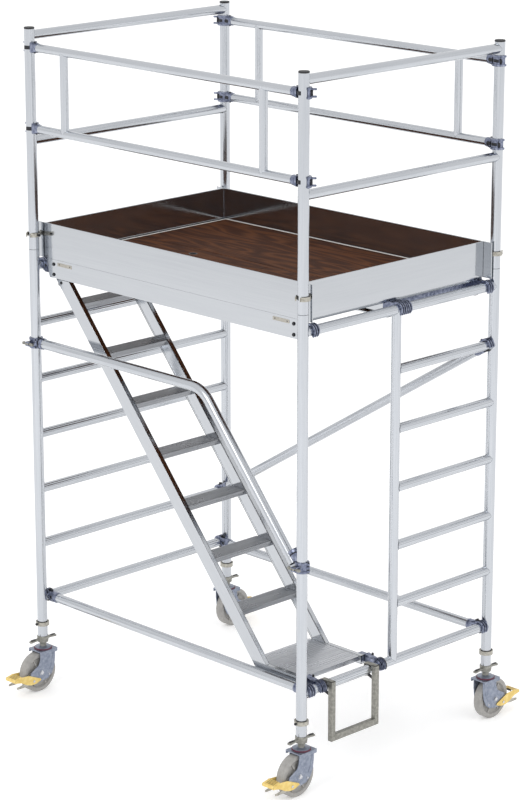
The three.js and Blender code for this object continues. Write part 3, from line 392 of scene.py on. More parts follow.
def shades(material, factor, stops):
    """Colours along a pattern, as (place, hex) stops."""
    ramp = add_node(material, "ShaderNodeValToRGB", {"Fac": factor})
    elements = ramp.color_ramp.elements
    while len(elements) < len(stops):
        elements.new(0.5)
    for element, (place, colour) in zip(elements, stops):
        element.position = place
        element.color = linear(colour)
    return ramp.outputs["Color"]


def relief(material, height, depth_mm):
    inputs = {"Height": height, "Distance": depth_mm * MM, "Strength": 1.0}
    return add_node(material, "ShaderNodeBump", inputs).outputs["Normal"]


def connect(material, shader, colour, roughness, normal):
    sockets = {"Base Color": colour, "Roughness": roughness, "Normal": normal}
    for name, value in sockets.items():
        material.node_tree.links.new(value, shader.inputs[name])


def flow_of(material):
    return add_node(material, "ShaderNodeAttribute", attribute_name="flow").outputs["Vector"]


def place_of(material):
    """Object coordinates in millimetres, for frame parts that carry no flow."""
    source = add_node(material, "ShaderNodeTexCoord").outputs["Object"]
    scaled = add_node(
        material, "ShaderNodeVectorMath", {0: source, "Scale": 1 / MM}, operation="SCALE"
    )
    return scaled.outputs["Vector"]


# %% [markdown]
# ### Extruded aluminium
#
# Tube and rail leave the press with a satin skin and faint lines along their length. The skin
# reflects its surroundings in long streaks. Each streak is a few millimetres wide and hundreds
# long, and drawn wider than a real one, so that it shows. Flat profiles come off the press the
# smoothest, and mirror what is near them. Treads are scuffed by boots, so they are rougher, and
# their colour is darker than the other aluminium as painted shade.


# %% Extruded aluminium
def extruded_aluminium(name, light, dark, roughness):
    material, shader = start_finish(name, 1.0, roughness[0])
    flow = flow_of(material)
    streaks = stretched(material, flow, 60, 5)
    clouds = stretched(material, flow, 3, 90)
    scratches = stretched(material, flow, 120, 1.2)
    colour = shades(material, streaks, [(0.3, dark), (0.7, light)])
    tinted = add_node(
        material, "ShaderNodeMixRGB",
        {"Fac": between(material, clouds, 0.0, 0.35), "Color1": colour, "Color2": linear(light)},
    )
    connect(
        material, shader,
        colour=tinted.outputs["Color"],
        roughness=between(material, clouds, *roughness),
        normal=relief(material, scratches, 0.05),
    )
    return material


tube_aluminium = extruded_aluminium(
    "extruded_aluminium_tube", "#c4c7cc", "#b6bac0", roughness=(0.16, 0.25)
)
sheet_aluminium = extruded_aluminium(
    "extruded_aluminium_profile", "#bfc2c6", "#b9bcc1", roughness=(0.07, 0.14)
)
# The treads' darker colour is painted shade; their higher roughness is boot wear.
tread_aluminium = extruded_aluminium(
    "walked_and_shaded_tread_aluminium", "#9a9ca0", "#7d7f83", roughness=(0.24, 0.34)
)
landing_aluminium = extruded_aluminium(
    "ribbed_landing_aluminium", "#c6c8cc", "#acaeb3", roughness=(0.24, 0.34)
)
print("finish:", tube_aluminium.name, sheet_aluminium.name, tread_aluminium.name)

# %% [markdown]
# ### Die-cast aluminium
#
# Claws and couplers are pressure die-cast and tumbled. The skin is blue-grey and a little
# mottled, with a grit of about a millimetre. The same kind of skin, in other colours, suits
# blackened latches, hot-dip zinc with its spangle, zinc-plated springs and passivated forks. The
# blackened one also serves as painted shade: dark pieces set in grooves, webs and hollows.


# %% Die-cast aluminium and coated steels
def cast_metal(name, light, mid, dark, metallic=0.85, roughness=(0.34, 0.5)):
    material, shader = start_finish(name, metallic, roughness[0])
    flow = flow_of(material)
    mottle = stretched(material, flow, 1, 14)
    grit = stretched(material, flow, 1, 1.5)
    colour = shades(material, mottle, [(0.3, dark), (0.5, mid), (0.72, light)])
    connect(
        material, shader,
        colour=colour,
        roughness=between(material, mottle, *roughness),
        normal=relief(material, grit, 0.12),
    )
    return material


die_cast = cast_metal(
    "die_cast_aluminium", "#a0a6b8", "#787e92", "#565c70", metallic=1.0, roughness=(0.24, 0.4)
)
# Blackened steel for latches and bolts; the same dark finish also paints shade into grooves and hollows.
dark_steel_and_painted_shade = cast_metal("blackened_steel_and_painted_shade", "#25262d", "#1b1c22", "#121318", metallic=0.25)
zinc_steel = cast_metal(
    "hot_dip_zinc_steel", "#a5a49c", "#8f8e88", "#7a7973", metallic=0.75, roughness=(0.4, 0.55)
)
spring_steel = cast_metal(
    "zinc_plated_spring_steel", "#bfbcb3", "#aaa79e", "#8f8c84", roughness=(0.28, 0.4)
)
fork_steel = cast_metal(
    "blue_passivated_steel", "#9aa1af", "#8a91a1", "#788091", metallic=0.7, roughness=(0.3, 0.42)
)
bright_bolt = cast_metal("bright_zinc_bolt", "#dcdde0", "#c6c8cc", "#aaacb2", roughness=(0.2, 0.3))
print("finish:", die_cast.name, zinc_steel.name, fork_steel.name)

# %% [markdown]
# ### Film-faced plywood
#
# The decks are birch plywood under a hard phenolic film, printed with a dark walnut figure. The
# figure is long along the deck: narrow bands, bent by a slow noise into flames and eyes. The film
# is matt: a fine mesh is pressed into it so that shoes grip, and it breaks up the sheen. That is
# why the specular level is set below its usual half.


# %% Film-faced plywood
FIGURE_BANDS = 62.0
GRIP_MESH_MM = 4.0


def walnut_film():
    material, shader = start_finish("film_faced_plywood", 0.0, 0.5)
    shader.inputs["Specular IOR Level"].default_value = 0.04
    place = place_of(material)
    slow = add_node(
        material, "ShaderNodeMapping", {"Vector": place, "Scale": (1 / 900, 1 / 150, 1 / 150)}
    )
    bend = add_node(
        material, "ShaderNodeTexNoise",
        {"Vector": slow.outputs["Vector"], "Scale": 1.0, "Detail": 2.0},
    )
    bands = add_node(
        material, "ShaderNodeMath", {0: bend.outputs["Fac"], 1: FIGURE_BANDS}, operation="MULTIPLY"
    )
    rings = add_node(material, "ShaderNodeMath", {0: bands.outputs[0]}, operation="SINE")
    figure = add_node(
        material, "ShaderNodeMapRange",
        {"Value": rings.outputs[0], "From Min": -1.0, "From Max": 1.0},
    )
    pores = stretched(material, place, 40, 2.6)
    mixed = add_node(
        material, "ShaderNodeMixRGB",
        {"Fac": 0.62, "Color1": figure.outputs["Result"], "Color2": pores},
    )
    stops = [(0.16, "#2f190e"), (0.42, "#432617"), (0.62, "#50301c"), (0.86, "#6b4026")]
    mesh_grip = add_node(
        material, "ShaderNodeTexVoronoi", {"Vector": place, "Scale": 1 / GRIP_MESH_MM}
    )
    connect(
        material, shader,
        colour=shades(material, mixed.outputs["Color"], stops),
        roughness=between(material, pores, 0.5, 0.66),
        normal=relief(material, mesh_grip.outputs["Distance"], 0.15),
    )
    return material


plywood_film = walnut_film()
print("finish:", plywood_film.name)

# %% [markdown]
# ### Plastics, rubber, paint and print
#
# The caster tyres are grey polyamide with a moulded grain, the post caps are black
# polyethylene, the brake pedals are powder coated, and a maroon seal keeps dirt out of each
# swivel. All of them share one kind of skin: a coloured body under a fine moulded or sprayed
# texture.


# %% Moulded and painted skins
def moulded(name, light, dark, roughness, grain_mm, depth_mm):
    material, shader = start_finish(name, 0.0, roughness)
    flow = flow_of(material)
    patches = stretched(material, flow, 1, 22)
    grain = stretched(material, flow, 1, grain_mm)
    connect(
        material, shader,
        colour=shades(material, patches, [(0.3, dark), (0.7, light)]),
        roughness=between(material, patches, roughness * 0.9, roughness * 1.15),
        normal=relief(material, grain, depth_mm),
    )
    return material


wheel_polyamide = moulded("grey_polyamide", "#a5a3a0", "#918f8c", 0.62, 1.6, 0.1)
cap_plastic = moulded("black_polyethylene", "#26262a", "#18181a", 0.5, 1.2, 0.08)
pedal_paint = moulded("yellow_powder_coat", "#ecd488", "#d8b65c", 0.38, 2.2, 0.06)
seal_rubber = moulded("maroon_seal_rubber", "#6b3346", "#552637", 0.45, 1.5, 0.05)
label_film = moulded("blank_label_film", "#a9a59c", "#97938b", 0.35, 3.0, 0.02)
edge_vinyl = moulded("pale_vinyl_edging", "#f4f2ee", "#e6e3dd", 0.5, 2.0, 0.03)
print("finish:", wheel_polyamide.name, pedal_paint.name)

# %% [markdown]
# ## Tubes
#
# A welded frame is tube against tube, and each rung end is sawn to the curve of the post that it
# meets. The saw cut is found with a little geometry: slide every point of the rung's end along
# the rung until it touches the post's cylinder. A bead of weld then follows that same curve.


# %% Saddles and weld beads
def slide_to(point, along, host):
    """Moves a point along a direction until it meets a cylinder (centre, axis, radius)."""
    centre, axis, radius = host
    offset = point - centre
    flat = offset - axis * offset.dot(axis)
    travel = along - axis * along.dot(axis)
    a = travel.dot(travel)
    b = flat.dot(travel)
    c = flat.dot(flat) - radius * radius
    return point + along * ((-b - sqrt(max(b * b - a * c, 0))) / a)


def weld_bead(shell, seam, along, axis_point):
    """A rippled bead along a closed seam where a tube meets its host."""
    size = 1.6
    rings = []
    for index, point in enumerate(seam):
        spoke = point - axis_point
        outward = (spoke - along * spoke.dot(along)).normalized()
        ripple = size * (1 + 0.18 * cos(index * pi / 1.5))
        rings.append([
            point + outward * ripple * cos(t) - along * ripple * sin(t)
            for t in (i * pi / 3 for i in range(6))
        ])
    loft(shell, rings, along, closed=True)


# %% [markdown]
# A tube with an open end shows its wall, so it needs an inside and an outside. A tube that is
# welded at its ends shows neither, and one skin is enough. Flutes are a ripple in the radius.


# %% Tubes
def tube(shell, start, end, radius, wall=None, hosts=(None, None), flutes=0, beads=None):
    """A straight tube. An end with a host is saddled to it and welded, the other is open."""
    start, end = Vector(start), Vector(end)
    along = (end - start).normalized()
    u, v = side_axes(along)
    count = 80 if flutes else SIDES
    turns = [2 * pi * i / count for i in range(count)]

    def ring(at, size):
        depth = FLUTE_DEPTH / 2 if flutes else 0
        return [
            at + (u * cos(t) + v * sin(t)) * (size - depth * (1 + cos(t * flutes))) for t in turns
        ]

    centre = (start + end) / 2
    ends = []
    for host, at, way in ((hosts[0], start, -along), (hosts[1], end, along)):
        if host:
            saddle = [slide_to(p, way, host) for p in ring(centre, radius)]
            ends.append(saddle)
            if beads:
                weld_bead(beads, saddle, way, centre)
        else:
            ends.append(ring(at, radius))
    if wall is None or any(hosts):
        loft(shell, ends, along)
        return
    edge = 0.8  # the chamfer on a deburred end
    inner = radius - wall
    rings = [
        ring(start, radius - edge), ring(start + along * edge, radius),
        ring(end - along * edge, radius), ring(end, radius - edge),
        ring(end, inner + edge), ring(end - along * edge, inner),
        ring(start + along * edge, inner), ring(start, inner + edge),
    ]
    loft(shell, rings, along, closed=True)


def post_host(x, y, radius=POST_RADIUS):
    return (Vector((x, y, 0)), Vector((0, 0, 1)), radius - 0.4)


def rung_host(x, z, radius=RUNG_RADIUS):
    return (Vector((x, 0, z)), Vector((0, 1, 0)), radius - 0.4)


# %% [markdown]
# ## The ladder frames and guard frames
#
# Each frame is one welding. The rungs are fluted, so that a wet boot does not slip. The right
# frame is a portal: a middle post ends its rungs, and only the lowest and highest go across.


# %% The welded frame
def welded_frame(x, posts, rungs, flutes=20):
    metal, beads = Shell(), Shell()
    for y, low, high in posts:
        tube(metal, (x, y, low), (x, y, high), POST_RADIUS, POST_WALL)
    for z, near, far in rungs:
        hosts = (post_host(x, near), post_host(x, far))
        tube(metal, (x, near, z), (x, far, z), RUNG_RADIUS, hosts=hosts, flutes=flutes, beads=beads)
    return metal, beads


def finish_frame(name, metal, beads, node):
    piece(name, metal, tube_aluminium, stands_for=[node])
    piece(name + "_welds", beads, tube_aluminium)


# %% Ladder frame, portal frame and guard frames
SPIGOT_LENGTH = 150
DOOR_POST_RADIUS = 22.4
rung_heights = [FIRST_RUNG_Z + i * RUNG_PITCH for i in range(RUNG_COUNT)]
both_posts = [(-POST_Y, POST_FOOT_Z, SEAM_Z - 0.5), (POST_Y, POST_FOOT_Z, SEAM_Z - 0.5)]
full_rungs = [(z, -POST_Y, POST_Y) for z in rung_heights]
metal, beads = welded_frame(-POST_X, both_posts, full_rungs)
finish_frame("ladder_frame", metal, beads, "base_frame_left")

portal_rungs = [
    (z, -POST_Y if z in (rung_heights[0], rung_heights[-1]) else DOOR_POST_Y, POST_Y)
    for z in rung_heights
]
metal, beads = welded_frame(POST_X, both_posts, portal_rungs)
tube(
    metal, (POST_X, DOOR_POST_Y, FIRST_RUNG_Z), (POST_X, DOOR_POST_Y, TOP_RUNG_Z), DOOR_POST_RADIUS,
    hosts=(rung_host(POST_X, FIRST_RUNG_Z), rung_host(POST_X, TOP_RUNG_Z)), beads=beads,
)
finish_frame("portal_frame", metal, beads, "base_frame_portal")

for side, word in ((-1, "left"), (1, "right")):
    x = side * POST_X
    posts = [(y, SEAM_Z + 0.9, POST_TOP_Z) for y in (-POST_Y, POST_Y)]
    rails = [(POST_TOP_Z - drop, -POST_Y, POST_Y) for drop in GUARD_END_RAIL_DROP]
    metal, beads = welded_frame(x, posts, rails, flutes=0)
    for y in (-POST_Y, POST_Y):
        spigot = POST_RADIUS - POST_WALL - 0.8
        tube(metal, (x, y, SEAM_Z - SPIGOT_LENGTH), (x, y, SEAM_Z + 40), spigot, 3)
    finish_frame(f"guard_end_frame_{word}", metal, beads, f"guard_frame_{word}")

# %% [markdown]
# ## Claws
#
# Braces and guard rails snap on to a tube with a cast claw. Its jaw is a stack of flanges with a
# web between them, so its outlines are parts of rings. Its body changes from nearly square at
# the jaw to round at the socket, which a superellipse can do with one number.


# %% Outlines for claws
def sector(inner, outer, start, end, flip=1):
    """Part of a ring, between two angles. A flip of -1 mirrors it across the x axis."""
    outline = arc(0, 0, outer, start, end, 24) + arc(0, 0, inner, end, start, 24)
    return [(x, y * flip) for x, y in outline]


def crescent(inner, outer, spread):
    return sector(inner, outer, -spread, spread)


def squared_ring(x, half_y, half_z, power, count=32):
    """A rounded rectangle across x. A power of 2 gives an ellipse, 5 an almost square one."""
    ring = []
    for i in range(count):
        t = 2 * pi * i / count
        c, s = cos(t), sin(t)
        y = half_y * (abs(c) ** (2 / power)) * (1 if c >= 0 else -1)
        z = half_z * (abs(s) ** (2 / power)) * (1 if s >= 0 else -1)
        ring.append(Vector((x, y, z)))
    return ring


# %% [markdown]
# The brace claw hooks over a rung from above: three flanges and a web reach round the rung, the
# body tapers to a round socket, and a spring latch shuts the mouth. One function makes the claw
# in its own frame, with the gripped tube along z and the brace along x, and every use places a
# copy.


# %% The snap claw
JAW_WALL = 10.5
WEB_WALL = 5


def snap_claw(grip, width, tube_radius, up, reach=CLAW_REACH):
    """Up is the sign of the local y that points up, where the jaw hooks over."""
    cast, dark = Shell(), Shell()
    inner = grip + CLEARANCE
    here = Matrix.Identity(4)
    half = width / 2
    for low, high in ((-half, -half + 7), (-3.5, 3.5), (half - 7, half)):
        plate(cast, sector(inner, grip + JAW_WALL, -30, 222, up), low, high, here)
        rim = sector(grip + JAW_WALL - 1.5, grip + JAW_WALL + 0.9, 20, 218, up)
        plate(cast, rim, low + 2, high - 2, here)
    plate(cast, sector(inner, grip + WEB_WALL, -28, 218, up), -half + 6, half - 6, here)
    # The dark groove on the web is painted shade.
    groove = sector(grip + WEB_WALL - 1, grip + WEB_WALL + 1.4, 60, 214, up)
    plate(dark, groove, -half + 6.5, half - 6.5, here)
    plate(dark, sector(inner + 0.5, grip + 7, 262, 322, up), -half + 8, half - 8, here)
    socket = tube_radius + 3.2
    sections = [
        (grip + 1, grip * 1.12, half - 1.2, 5),
        (grip + 12, grip * 1.16, half - 0.8, 4),
        (grip + 24, grip * 1.16, half + 1, 3.2),
        (reach - 6, socket - 0.6, socket - 0.6, 2.3),
        (reach, socket - 0.4, socket - 0.4, 2),
    ]
    loft(cast, [squared_ring(*section) for section in sections], (1, 0, 0))
    along = frame_at((0, 0, 0), (0, 1, 0), (1, 0, 0))
    collar = [
        (tube_radius - 0.5, reach - 4), (socket, reach - 3), (socket, reach + 12),
        (socket - 1.5, reach + 14), (tube_radius - 0.5, reach + 14),
    ]
    lathe(cast, collar, along, 40, closed=True)
    # Dark slots on the body's flat sides: painted shade where a cast recess would be.
    for side in (-1, 1):
        recess = frame_at((grip + 17, 0, side * (half - 0.6)), (1, 0, 0), (0, 0, side))
        plate(dark, slot_outline(24, width * 0.5), -2, 1.0, recess)
    lever = frame_at((grip - 4, up * (grip + 4), 0), (1, 0, 0), (0, up, 0))
    plate(dark, slot_outline(30, 13), 0, 7, lever)
    lathe(dark, [(5, 4), (5, 11), (4.2, 12.6), (1.5, 13)], lever, 20)
    return cast, dark


# %% [markdown]
# Guard rails are lifted in from inside, so their claws wrap the inner side of the post and open
# outwards. A thin latch bar closes the mouth, and two fingers let a gloved hand pull it open.


# %% The guard claw
def guard_claw(closed):
    """Built like the snap claw. Closed is the sign of the local y that the jaw wraps."""
    cast, dark = Shell(), Shell()
    grip, half = POST_RADIUS, POST_CLAW_WIDTH / 2
    inner = grip + CLEARANCE
    here = Matrix.Identity(4)
    for low, high in ((-half, -half + 10), (half - 10, half)):
        plate(cast, sector(inner, grip + 10.8, -14, 193, closed), low, high, here)
    plate(cast, sector(inner, grip + 5.5, -14, 190, closed), -half + 9.5, half - 9.5, here)
    # The dark band on the web between the flanges is painted shade.
    plate(dark, sector(grip + 5, grip + 6.4, 66, 124, closed), -7, 7, here)
    plate(dark, sector(inner + 0.4, grip + 4, -100, -20, closed), -8.5, 8.5, here)
    for level in (-FINGER_SPREAD / 2, FINGER_SPREAD / 2):
        way = Vector((-cos(FINGER_TURN), closed * sin(FINGER_TURN), 0))
        finger = frame_at((0, 0, level), (0, 0, 1), way)
        profile = [(5.4, grip + 3), (4.9, grip + 12), (4.9, 53), (3.6, 55.6), (1, 56)]
        lathe(cast, profile, finger, 20)
    slide = frame_at((0, 0, 0), (0, 0, 1), way)
    plate(dark, rounded([(-11, -6), (11, -6), (11, 6), (-11, 6)], 3), grip + 3, grip + 14, slide)
    sections = [
        (grip + 1.5, grip * 0.86, half - 0.8, 6),
        (grip + 9, grip * 0.9, half - 0.8, 5),
        (grip + 20, GUARD_TUBE_RADIUS + 2, half - 2.5, 3.4),
        (CLAW_REACH - 8, GUARD_TUBE_RADIUS + 2, GUARD_TUBE_RADIUS + 2, 2.2),
    ]
    loft(cast, [squared_ring(*section) for section in sections], (1, 0, 0))
    along = frame_at((0, 0, 0), (0, 1, 0), (1, 0, 0))
    edge = GUARD_TUBE_RADIUS + 2.8
    collar = [
        (GUARD_TUBE_RADIUS - 0.5, CLAW_REACH - 9), (edge, CLAW_REACH - 8), (edge, CLAW_REACH - 1),
        (edge - 1.4, CLAW_REACH + 1), (GUARD_TUBE_RADIUS - 0.5, CLAW_REACH + 1),
    ]
    lathe(cast, collar, along, 40, closed=True)
    # Dark slot on the body: painted shade where a cast recess would be.
    root = frame_at((grip + 11, closed * grip * 0.88, 0), (1, 0, 0), (0, closed, 0))
    plate(dark, slot_outline(26, 17), -2, 1.4, root)
    for level in (-1, 1):
        pin = frame_at((grip + 14, 0, level * (half - 2)), (1, 0, 0), (0, 0, level))
        lathe(dark, [(4.4, 0), (4.4, 3.4), (3.4, 4.4), (1, 4.5)], pin, 20)
    return cast, dark


# %% Claws of one brace
class ClawSet:
    """Gathers the claws of one brace: die-cast metal, and dark latches, bolts and painted shade."""

    def __init__(self):
        self.cast = Shell()
        self.dark = Shell()

    def add(self, made, place):
        self.cast.merge(made[0], place)
        self.dark.merge(made[1], place)

    def finish(self, name, nodes=()):
        piece(name + "_claws", self.cast, die_cast, stands_for=nodes, bevel=0.9)
        # The dark set holds blackened latches and bolts, and dark pieces that are painted shade.
        piece(name + "_dark_fittings_and_painted_shade", self.dark, dark_steel_and_painted_shade, bevel=0.5)


rung_claws = {up: snap_claw(RUNG_RADIUS, CLAW_WIDTH, RUNG_RADIUS, up) for up in (-1, 1)}

# %% [markdown]
# ## Double guard rails
#
# Each long side has a prefabricated guard: two rails and two short uprights, with a claw at each
# of its four ends. It is lifted in from inside the tower.

# %% Double guard rails
for side, word in ((-1, "front"), (1, "rear")):
    y = side * POST_Y
    low, high = box_mm(f"double_guard_rail_{word}")
    rail_heights = (low.z + POST_CLAW_WIDTH / 2, high.z - POST_CLAW_WIDTH / 2)
    metal, beads, claws = Shell(), Shell(), ClawSet()
    reach = POST_X - CLAW_REACH + 4
    for z in rail_heights:
        tube(metal, (-reach, y, z), (reach, y, z), GUARD_TUBE_RADIUS, 2)
        for x in (-POST_X, POST_X):
            inward = -1 if x > 0 else 1
            claw = guard_claw(closed=-side * inward)
            claws.add(claw, frame_at((x, y, z), (inward, 0, 0), (0, 0, 1)))
    for x in (-1, 1):
        place = x * (POST_X - GUARD_UPRIGHT_INSET)
        hosts = [
            (Vector((0, y, z)), Vector((1, 0, 0)), GUARD_TUBE_RADIUS - 0.4) for z in rail_heights
        ]
        tube(
            metal, (place, y, rail_heights[0]), (place, y, rail_heights[1]),
            GUARD_UPRIGHT_RADIUS, hosts=hosts, beads=beads,
        )
    piece(f"guard_rail_{word}", metal, tube_aluminium, stands_for=[f"double_guard_rail_{word}"])
    piece(f"guard_rail_{word}_welds", beads, tube_aluminium)
    claws.finish(f"guard_rail_{word}", [f"double_guard_rail_{word}"])

# %% [markdown]
# ## Bottom rails and the diagonal
#
# These braces hook on to rungs, so their claws grip along y. The diagonal climbs from the second
# rung to the sixth, and its claws lean with it.


# %% Bottom rails and diagonal
def brace(name, start, end, node):
    start, end = Vector(start), Vector(end)
    along = (end - start).normalized()
    metal, claws = Shell(), ClawSet()
    inset = along * (CLAW_REACH - 4)
    tube(metal, start + inset, end - inset, RUNG_RADIUS, 2)
    claws.add(rung_claws[-1], frame_at(start, along, (0, 1, 0)))
    claws.add(rung_claws[1], frame_at(end, -along, (0, 1, 0)))
    piece(name, metal, tube_aluminium, stands_for=[node])
    claws.finish(name, [node])


for y, word in ((-BRACE_Y, "front"), (BRACE_Y, "rear")):
    ends = [(x, y, FIRST_RUNG_Z) for x in (-POST_X, POST_X)]
    brace(f"bottom_tube_{word}", *ends, f"bottom_rail_{word}")
brace(
    "diagonal_tube", (-POST_X, BRACE_Y, rung_heights[1]), (POST_X, BRACE_Y, rung_heights[5]),
    "diagonal_brace_rear",
)

# %% [markdown]
# ## Platforms and toe boards
#
# The long rails of each platform and the toe boards are extruded profiles with a rounded top
# edge and shallow ribs. The profile is drawn once, across the rail, and lofted along it. Hollow
# cross beams, cast claws, bolts and blank rating plates finish the underside.


# %% Platform rails
RAIL_DEPTH = 104
RAIL_WALL = 3
RAIL_FLANGE = 26
LIP_INSET = 8
LIP_WIDTH = 2.5
DECK_THICKNESS = 12
RAIL_TOP_Z = DECK_Z - DECK_THICKNESS - 0.3
RAIL_LOW_Z = DECK_Z - RAIL_DEPTH
RAIL_END_X = POST_X - 42
CHAMFER = (22, 35)


def rail_section(lip_top):
    """Half-open channel, as (distance inwards, height) with its back at zero."""
    top, low, w, f = RAIL_TOP_Z, RAIL_LOW_Z, RAIL_WALL, RAIL_FLANGE
    return [
        (0, low), (f, low), (f, low + 7), (f - 2, low + 7), (f - 2, low + w), (w, low + w),
        (w, top - 30), (w + 3, top - 28), (w + 3, top - 25), (w, top - 23), (w, top - w),
        (f, top - w), (f, top), (LIP_INSET + LIP_WIDTH, top), (LIP_INSET + LIP_WIDTH, lip_top),
        (LIP_INSET, lip_top), (LIP_INSET, top), (0, top),
    ]


def platform_rail(shell, outer_y, inward, lip_top):
    rings = []
    cut_x, cut_z = CHAMFER
    for side in (-1, 1):
        ring = []
        for across, z in rail_section(lip_top):
            drop = max(0, 1 - (z - RAIL_LOW_Z) / cut_z) * cut_x
            ring.append(Vector((side * (RAIL_END_X - drop), outer_y + inward * across, z)))
        rings.append(ring)
    loft(shell, rings, (1, 0, 0))


# %% [markdown]
# A hollow beam ties the two rails of a platform. A bolt is a washer under a hexagon head, with
# its corners chamfered as on a real head, and it is drawn standing up, so that a local frame
# can point it anywhere.


# %% Cross beams and bolts
def cross_beam(shell, x, low_y, high_y):
    """A hollow square beam with a rounded outside."""
    top, low = RAIL_TOP_Z - 0.2, RAIL_TOP_Z - 36
    outer = rounded([(x - 15, low), (x + 15, low), (x + 15, top), (x - 15, top)], 3, 4)
    rings = [[Vector((a, y, b)) for a, b in outer] for y in (low_y, high_y)]
    loft(shell, rings, (0, 1, 0))


def hex_bolt(shell, place, across=13, height=5.5):
    """A washer and a chamfered hexagon head, standing up along the local z axis."""
    lathe(shell, [(across * 0.62, 0), (across * 0.68, 0.5), (across * 0.68, 1.6),
                  (across * 0.55, 1.8)], place, 28)
    rings = []
    for size, z in ((0.5, 1.6), (0.577, 2.4), (0.577, height - 0.8), (0.5, height)):
        rings.append([place @ p for p in circle(across * size, z, 6)])
    loft(shell, rings, place.to_3x3() @ Vector((0, 0, 1)))


# %% [markdown]
# Each rail ends in a cast hook, which carries the platform on the top rung. It has the same
# stack of flanges as a claw, and a flat body with two cheeks that is bolted into the rail.


# %% Platform hooks
def platform_hook(y, side):
    """The cast hook that carries a rail's end on the top rung."""
    cast, dark = Shell(), Shell()
    x = side * POST_X
    up = frame_at((x, y, TOP_RUNG_Z), (0, 0, 1), (0, 1, 0))
    inner, outer = RUNG_RADIUS + CLEARANCE, RUNG_RADIUS + 11.5
    for low, high in ((-16, -10), (-4, 3), (10, 16)):
        plate(cast, crescent(inner, outer, 142), low, high, up)
    # The dark web between the flanges is painted shade.
    plate(dark, crescent(inner, outer - 3.5, 138), -15, 15, up)
    near, far = RAIL_END_X - 44, POST_X - 24
    outline = rounded([
        (side * near, TOP_RUNG_Z - 30), (side * (far - 3), TOP_RUNG_Z - 30),
        (side * far, TOP_RUNG_Z - 12), (side * (far + 4), TOP_RUNG_Z + 26),
        (side * (far - 20), RAIL_TOP_Z - 12), (side * near, RAIL_TOP_Z - 12),
    ], 4)
    flat = Matrix.Translation((0, y, 0)) @ SIDE_VIEW
    plate(cast, outline, -15.5, -9, flat)
    plate(cast, outline, 9, 15.5, flat)
    inset = [(px * 0.9995, pz + (2 if pz < TOP_RUNG_Z else -2)) for px, pz in outline]
    plate(cast, inset, -9.5, 9.5, flat)
    for way in (-1, 1):
        face = frame_at((side * (far - 12), y + way * 15, TOP_RUNG_Z + 2), (1, 0, 0), (0, way, 0))
        lathe(dark, [(7, -1), (7, 1.4), (5.5, 2.2), (1, 2.3)], face, 24)
    latch = frame_at((side * (far + 1), y, TOP_RUNG_Z - 16), (0, 1, 0), (side, 0, 0))
    plate(dark, slot_outline(22, 12), -2, 4, latch)
    return cast, dark


# %% [markdown]
# The two platforms are mirror images, so one loop makes both. Their cross beams differ: the
# front platform needs a free opening for the hatch, and the rear one has an end beam, drawn in
# the darker cast finish as painted shade.


# %% Platform frames
FRONT_BEAMS = (67, 460)
REAR_BEAMS = (-283, 283)
for side_y, word in ((-1, "front"), (1, "rear")):
    node = f"platform_frame_{word}"
    outer_y, inner_y = side_y * PLATFORM_Y, side_y * 2.5
    metal, hooks, bolts = Shell(), ClawSet(), Shell()
    platform_rail(metal, outer_y, -side_y, DECK_Z)
    platform_rail(metal, inner_y, side_y, DECK_Z - 6)
    span = sorted((outer_y - side_y * 2, inner_y + side_y * 2))
    for x in FRONT_BEAMS if word == "front" else REAR_BEAMS:
        cross_beam(metal, x, *span)
    inside = sorted((outer_y - side_y * 9, inner_y + side_y))
    for side_x in (-1, 1):
        wide = sorted((side_x * (RAIL_END_X - 13.7), side_x * RAIL_END_X))
        ledge = sorted((side_x * (RAIL_END_X - 39), side_x * (RAIL_END_X - 1)))
        block(metal, wide, inside, (RAIL_TOP_Z - 12, DECK_Z - 2), (0, 1, 0))
        block(metal, ledge, span, (RAIL_TOP_Z - 12, RAIL_TOP_Z - 0.4), (0, 1, 0))
        for y in (outer_y - side_y * 16, inner_y + side_y * 16):
            hooks.add(platform_hook(y, side_x), Matrix.Identity(4))
        for z in (RAIL_TOP_Z - 24, RAIL_TOP_Z - 74):
            hex_bolt(bolts, frame_at(
                (side_x * (RAIL_END_X - 54), outer_y + side_y * 0.2, z), (1, 0, 0), (0, side_y, 0)
            ))
    if word == "rear":
        # The end beam takes the darker die-cast finish of the hooks: painted shade.
        shaded_end_beam = (RAIL_END_X - 46, RAIL_END_X - 40)
        block(hooks.cast, shaded_end_beam, inside, (RAIL_LOW_Z + 22, RAIL_TOP_Z - 12.5), (0, 1, 0))
    piece(f"platform_rails_{word}", metal, sheet_aluminium, stands_for=[node], bevel=0.7)
    hooks.finish(f"platform_{word}", [node])
    piece(f"platform_bolts_{word}", bolts, dark_steel_and_painted_shade, bevel=0.3)


# %% [markdown]
# A small plate near each end of the long rails would state the load class. It is left blank.


# %% Rating plates
PLATE_X = 729
PLATE_HALF_LENGTH = 52
PLATE_HALF_HEIGHT = 8.5


def rating_plate(name, x, y, z, side_y):
    film, studs = Shell(), Shell()
    face = frame_at((x, y, z), (1, 0, 0), (0, side_y, 0))
    a, b = PLATE_HALF_LENGTH, PLATE_HALF_HEIGHT
    plate(film, rounded([(-a, -b), (a, -b), (a, b), (-a, b)], 2.5), -0.2, 0.8, face)
    for dx in (-38, 38):
        stud = frame_at((x + dx, y + side_y * 0.7, z), (1, 0, 0), (0, side_y, 0))
        lathe(studs, [(3.2, 0), (3, 0.5), (1, 0.9)], stud, 20)
    piece(name, film, label_film)
    piece(name + "_studs", studs, dark_steel_and_painted_shade)


for side_y, word in ((-1, "front"), (1, "rear")):
    for side_x, end in ((-1, "left"), (1, "right")):
        place = (side_x * PLATE_X, side_y * PLATFORM_Y, RAIL_TOP_Z - 20)
        rating_plate(f"rating_plate_{word}_{end}", *place, side_y)

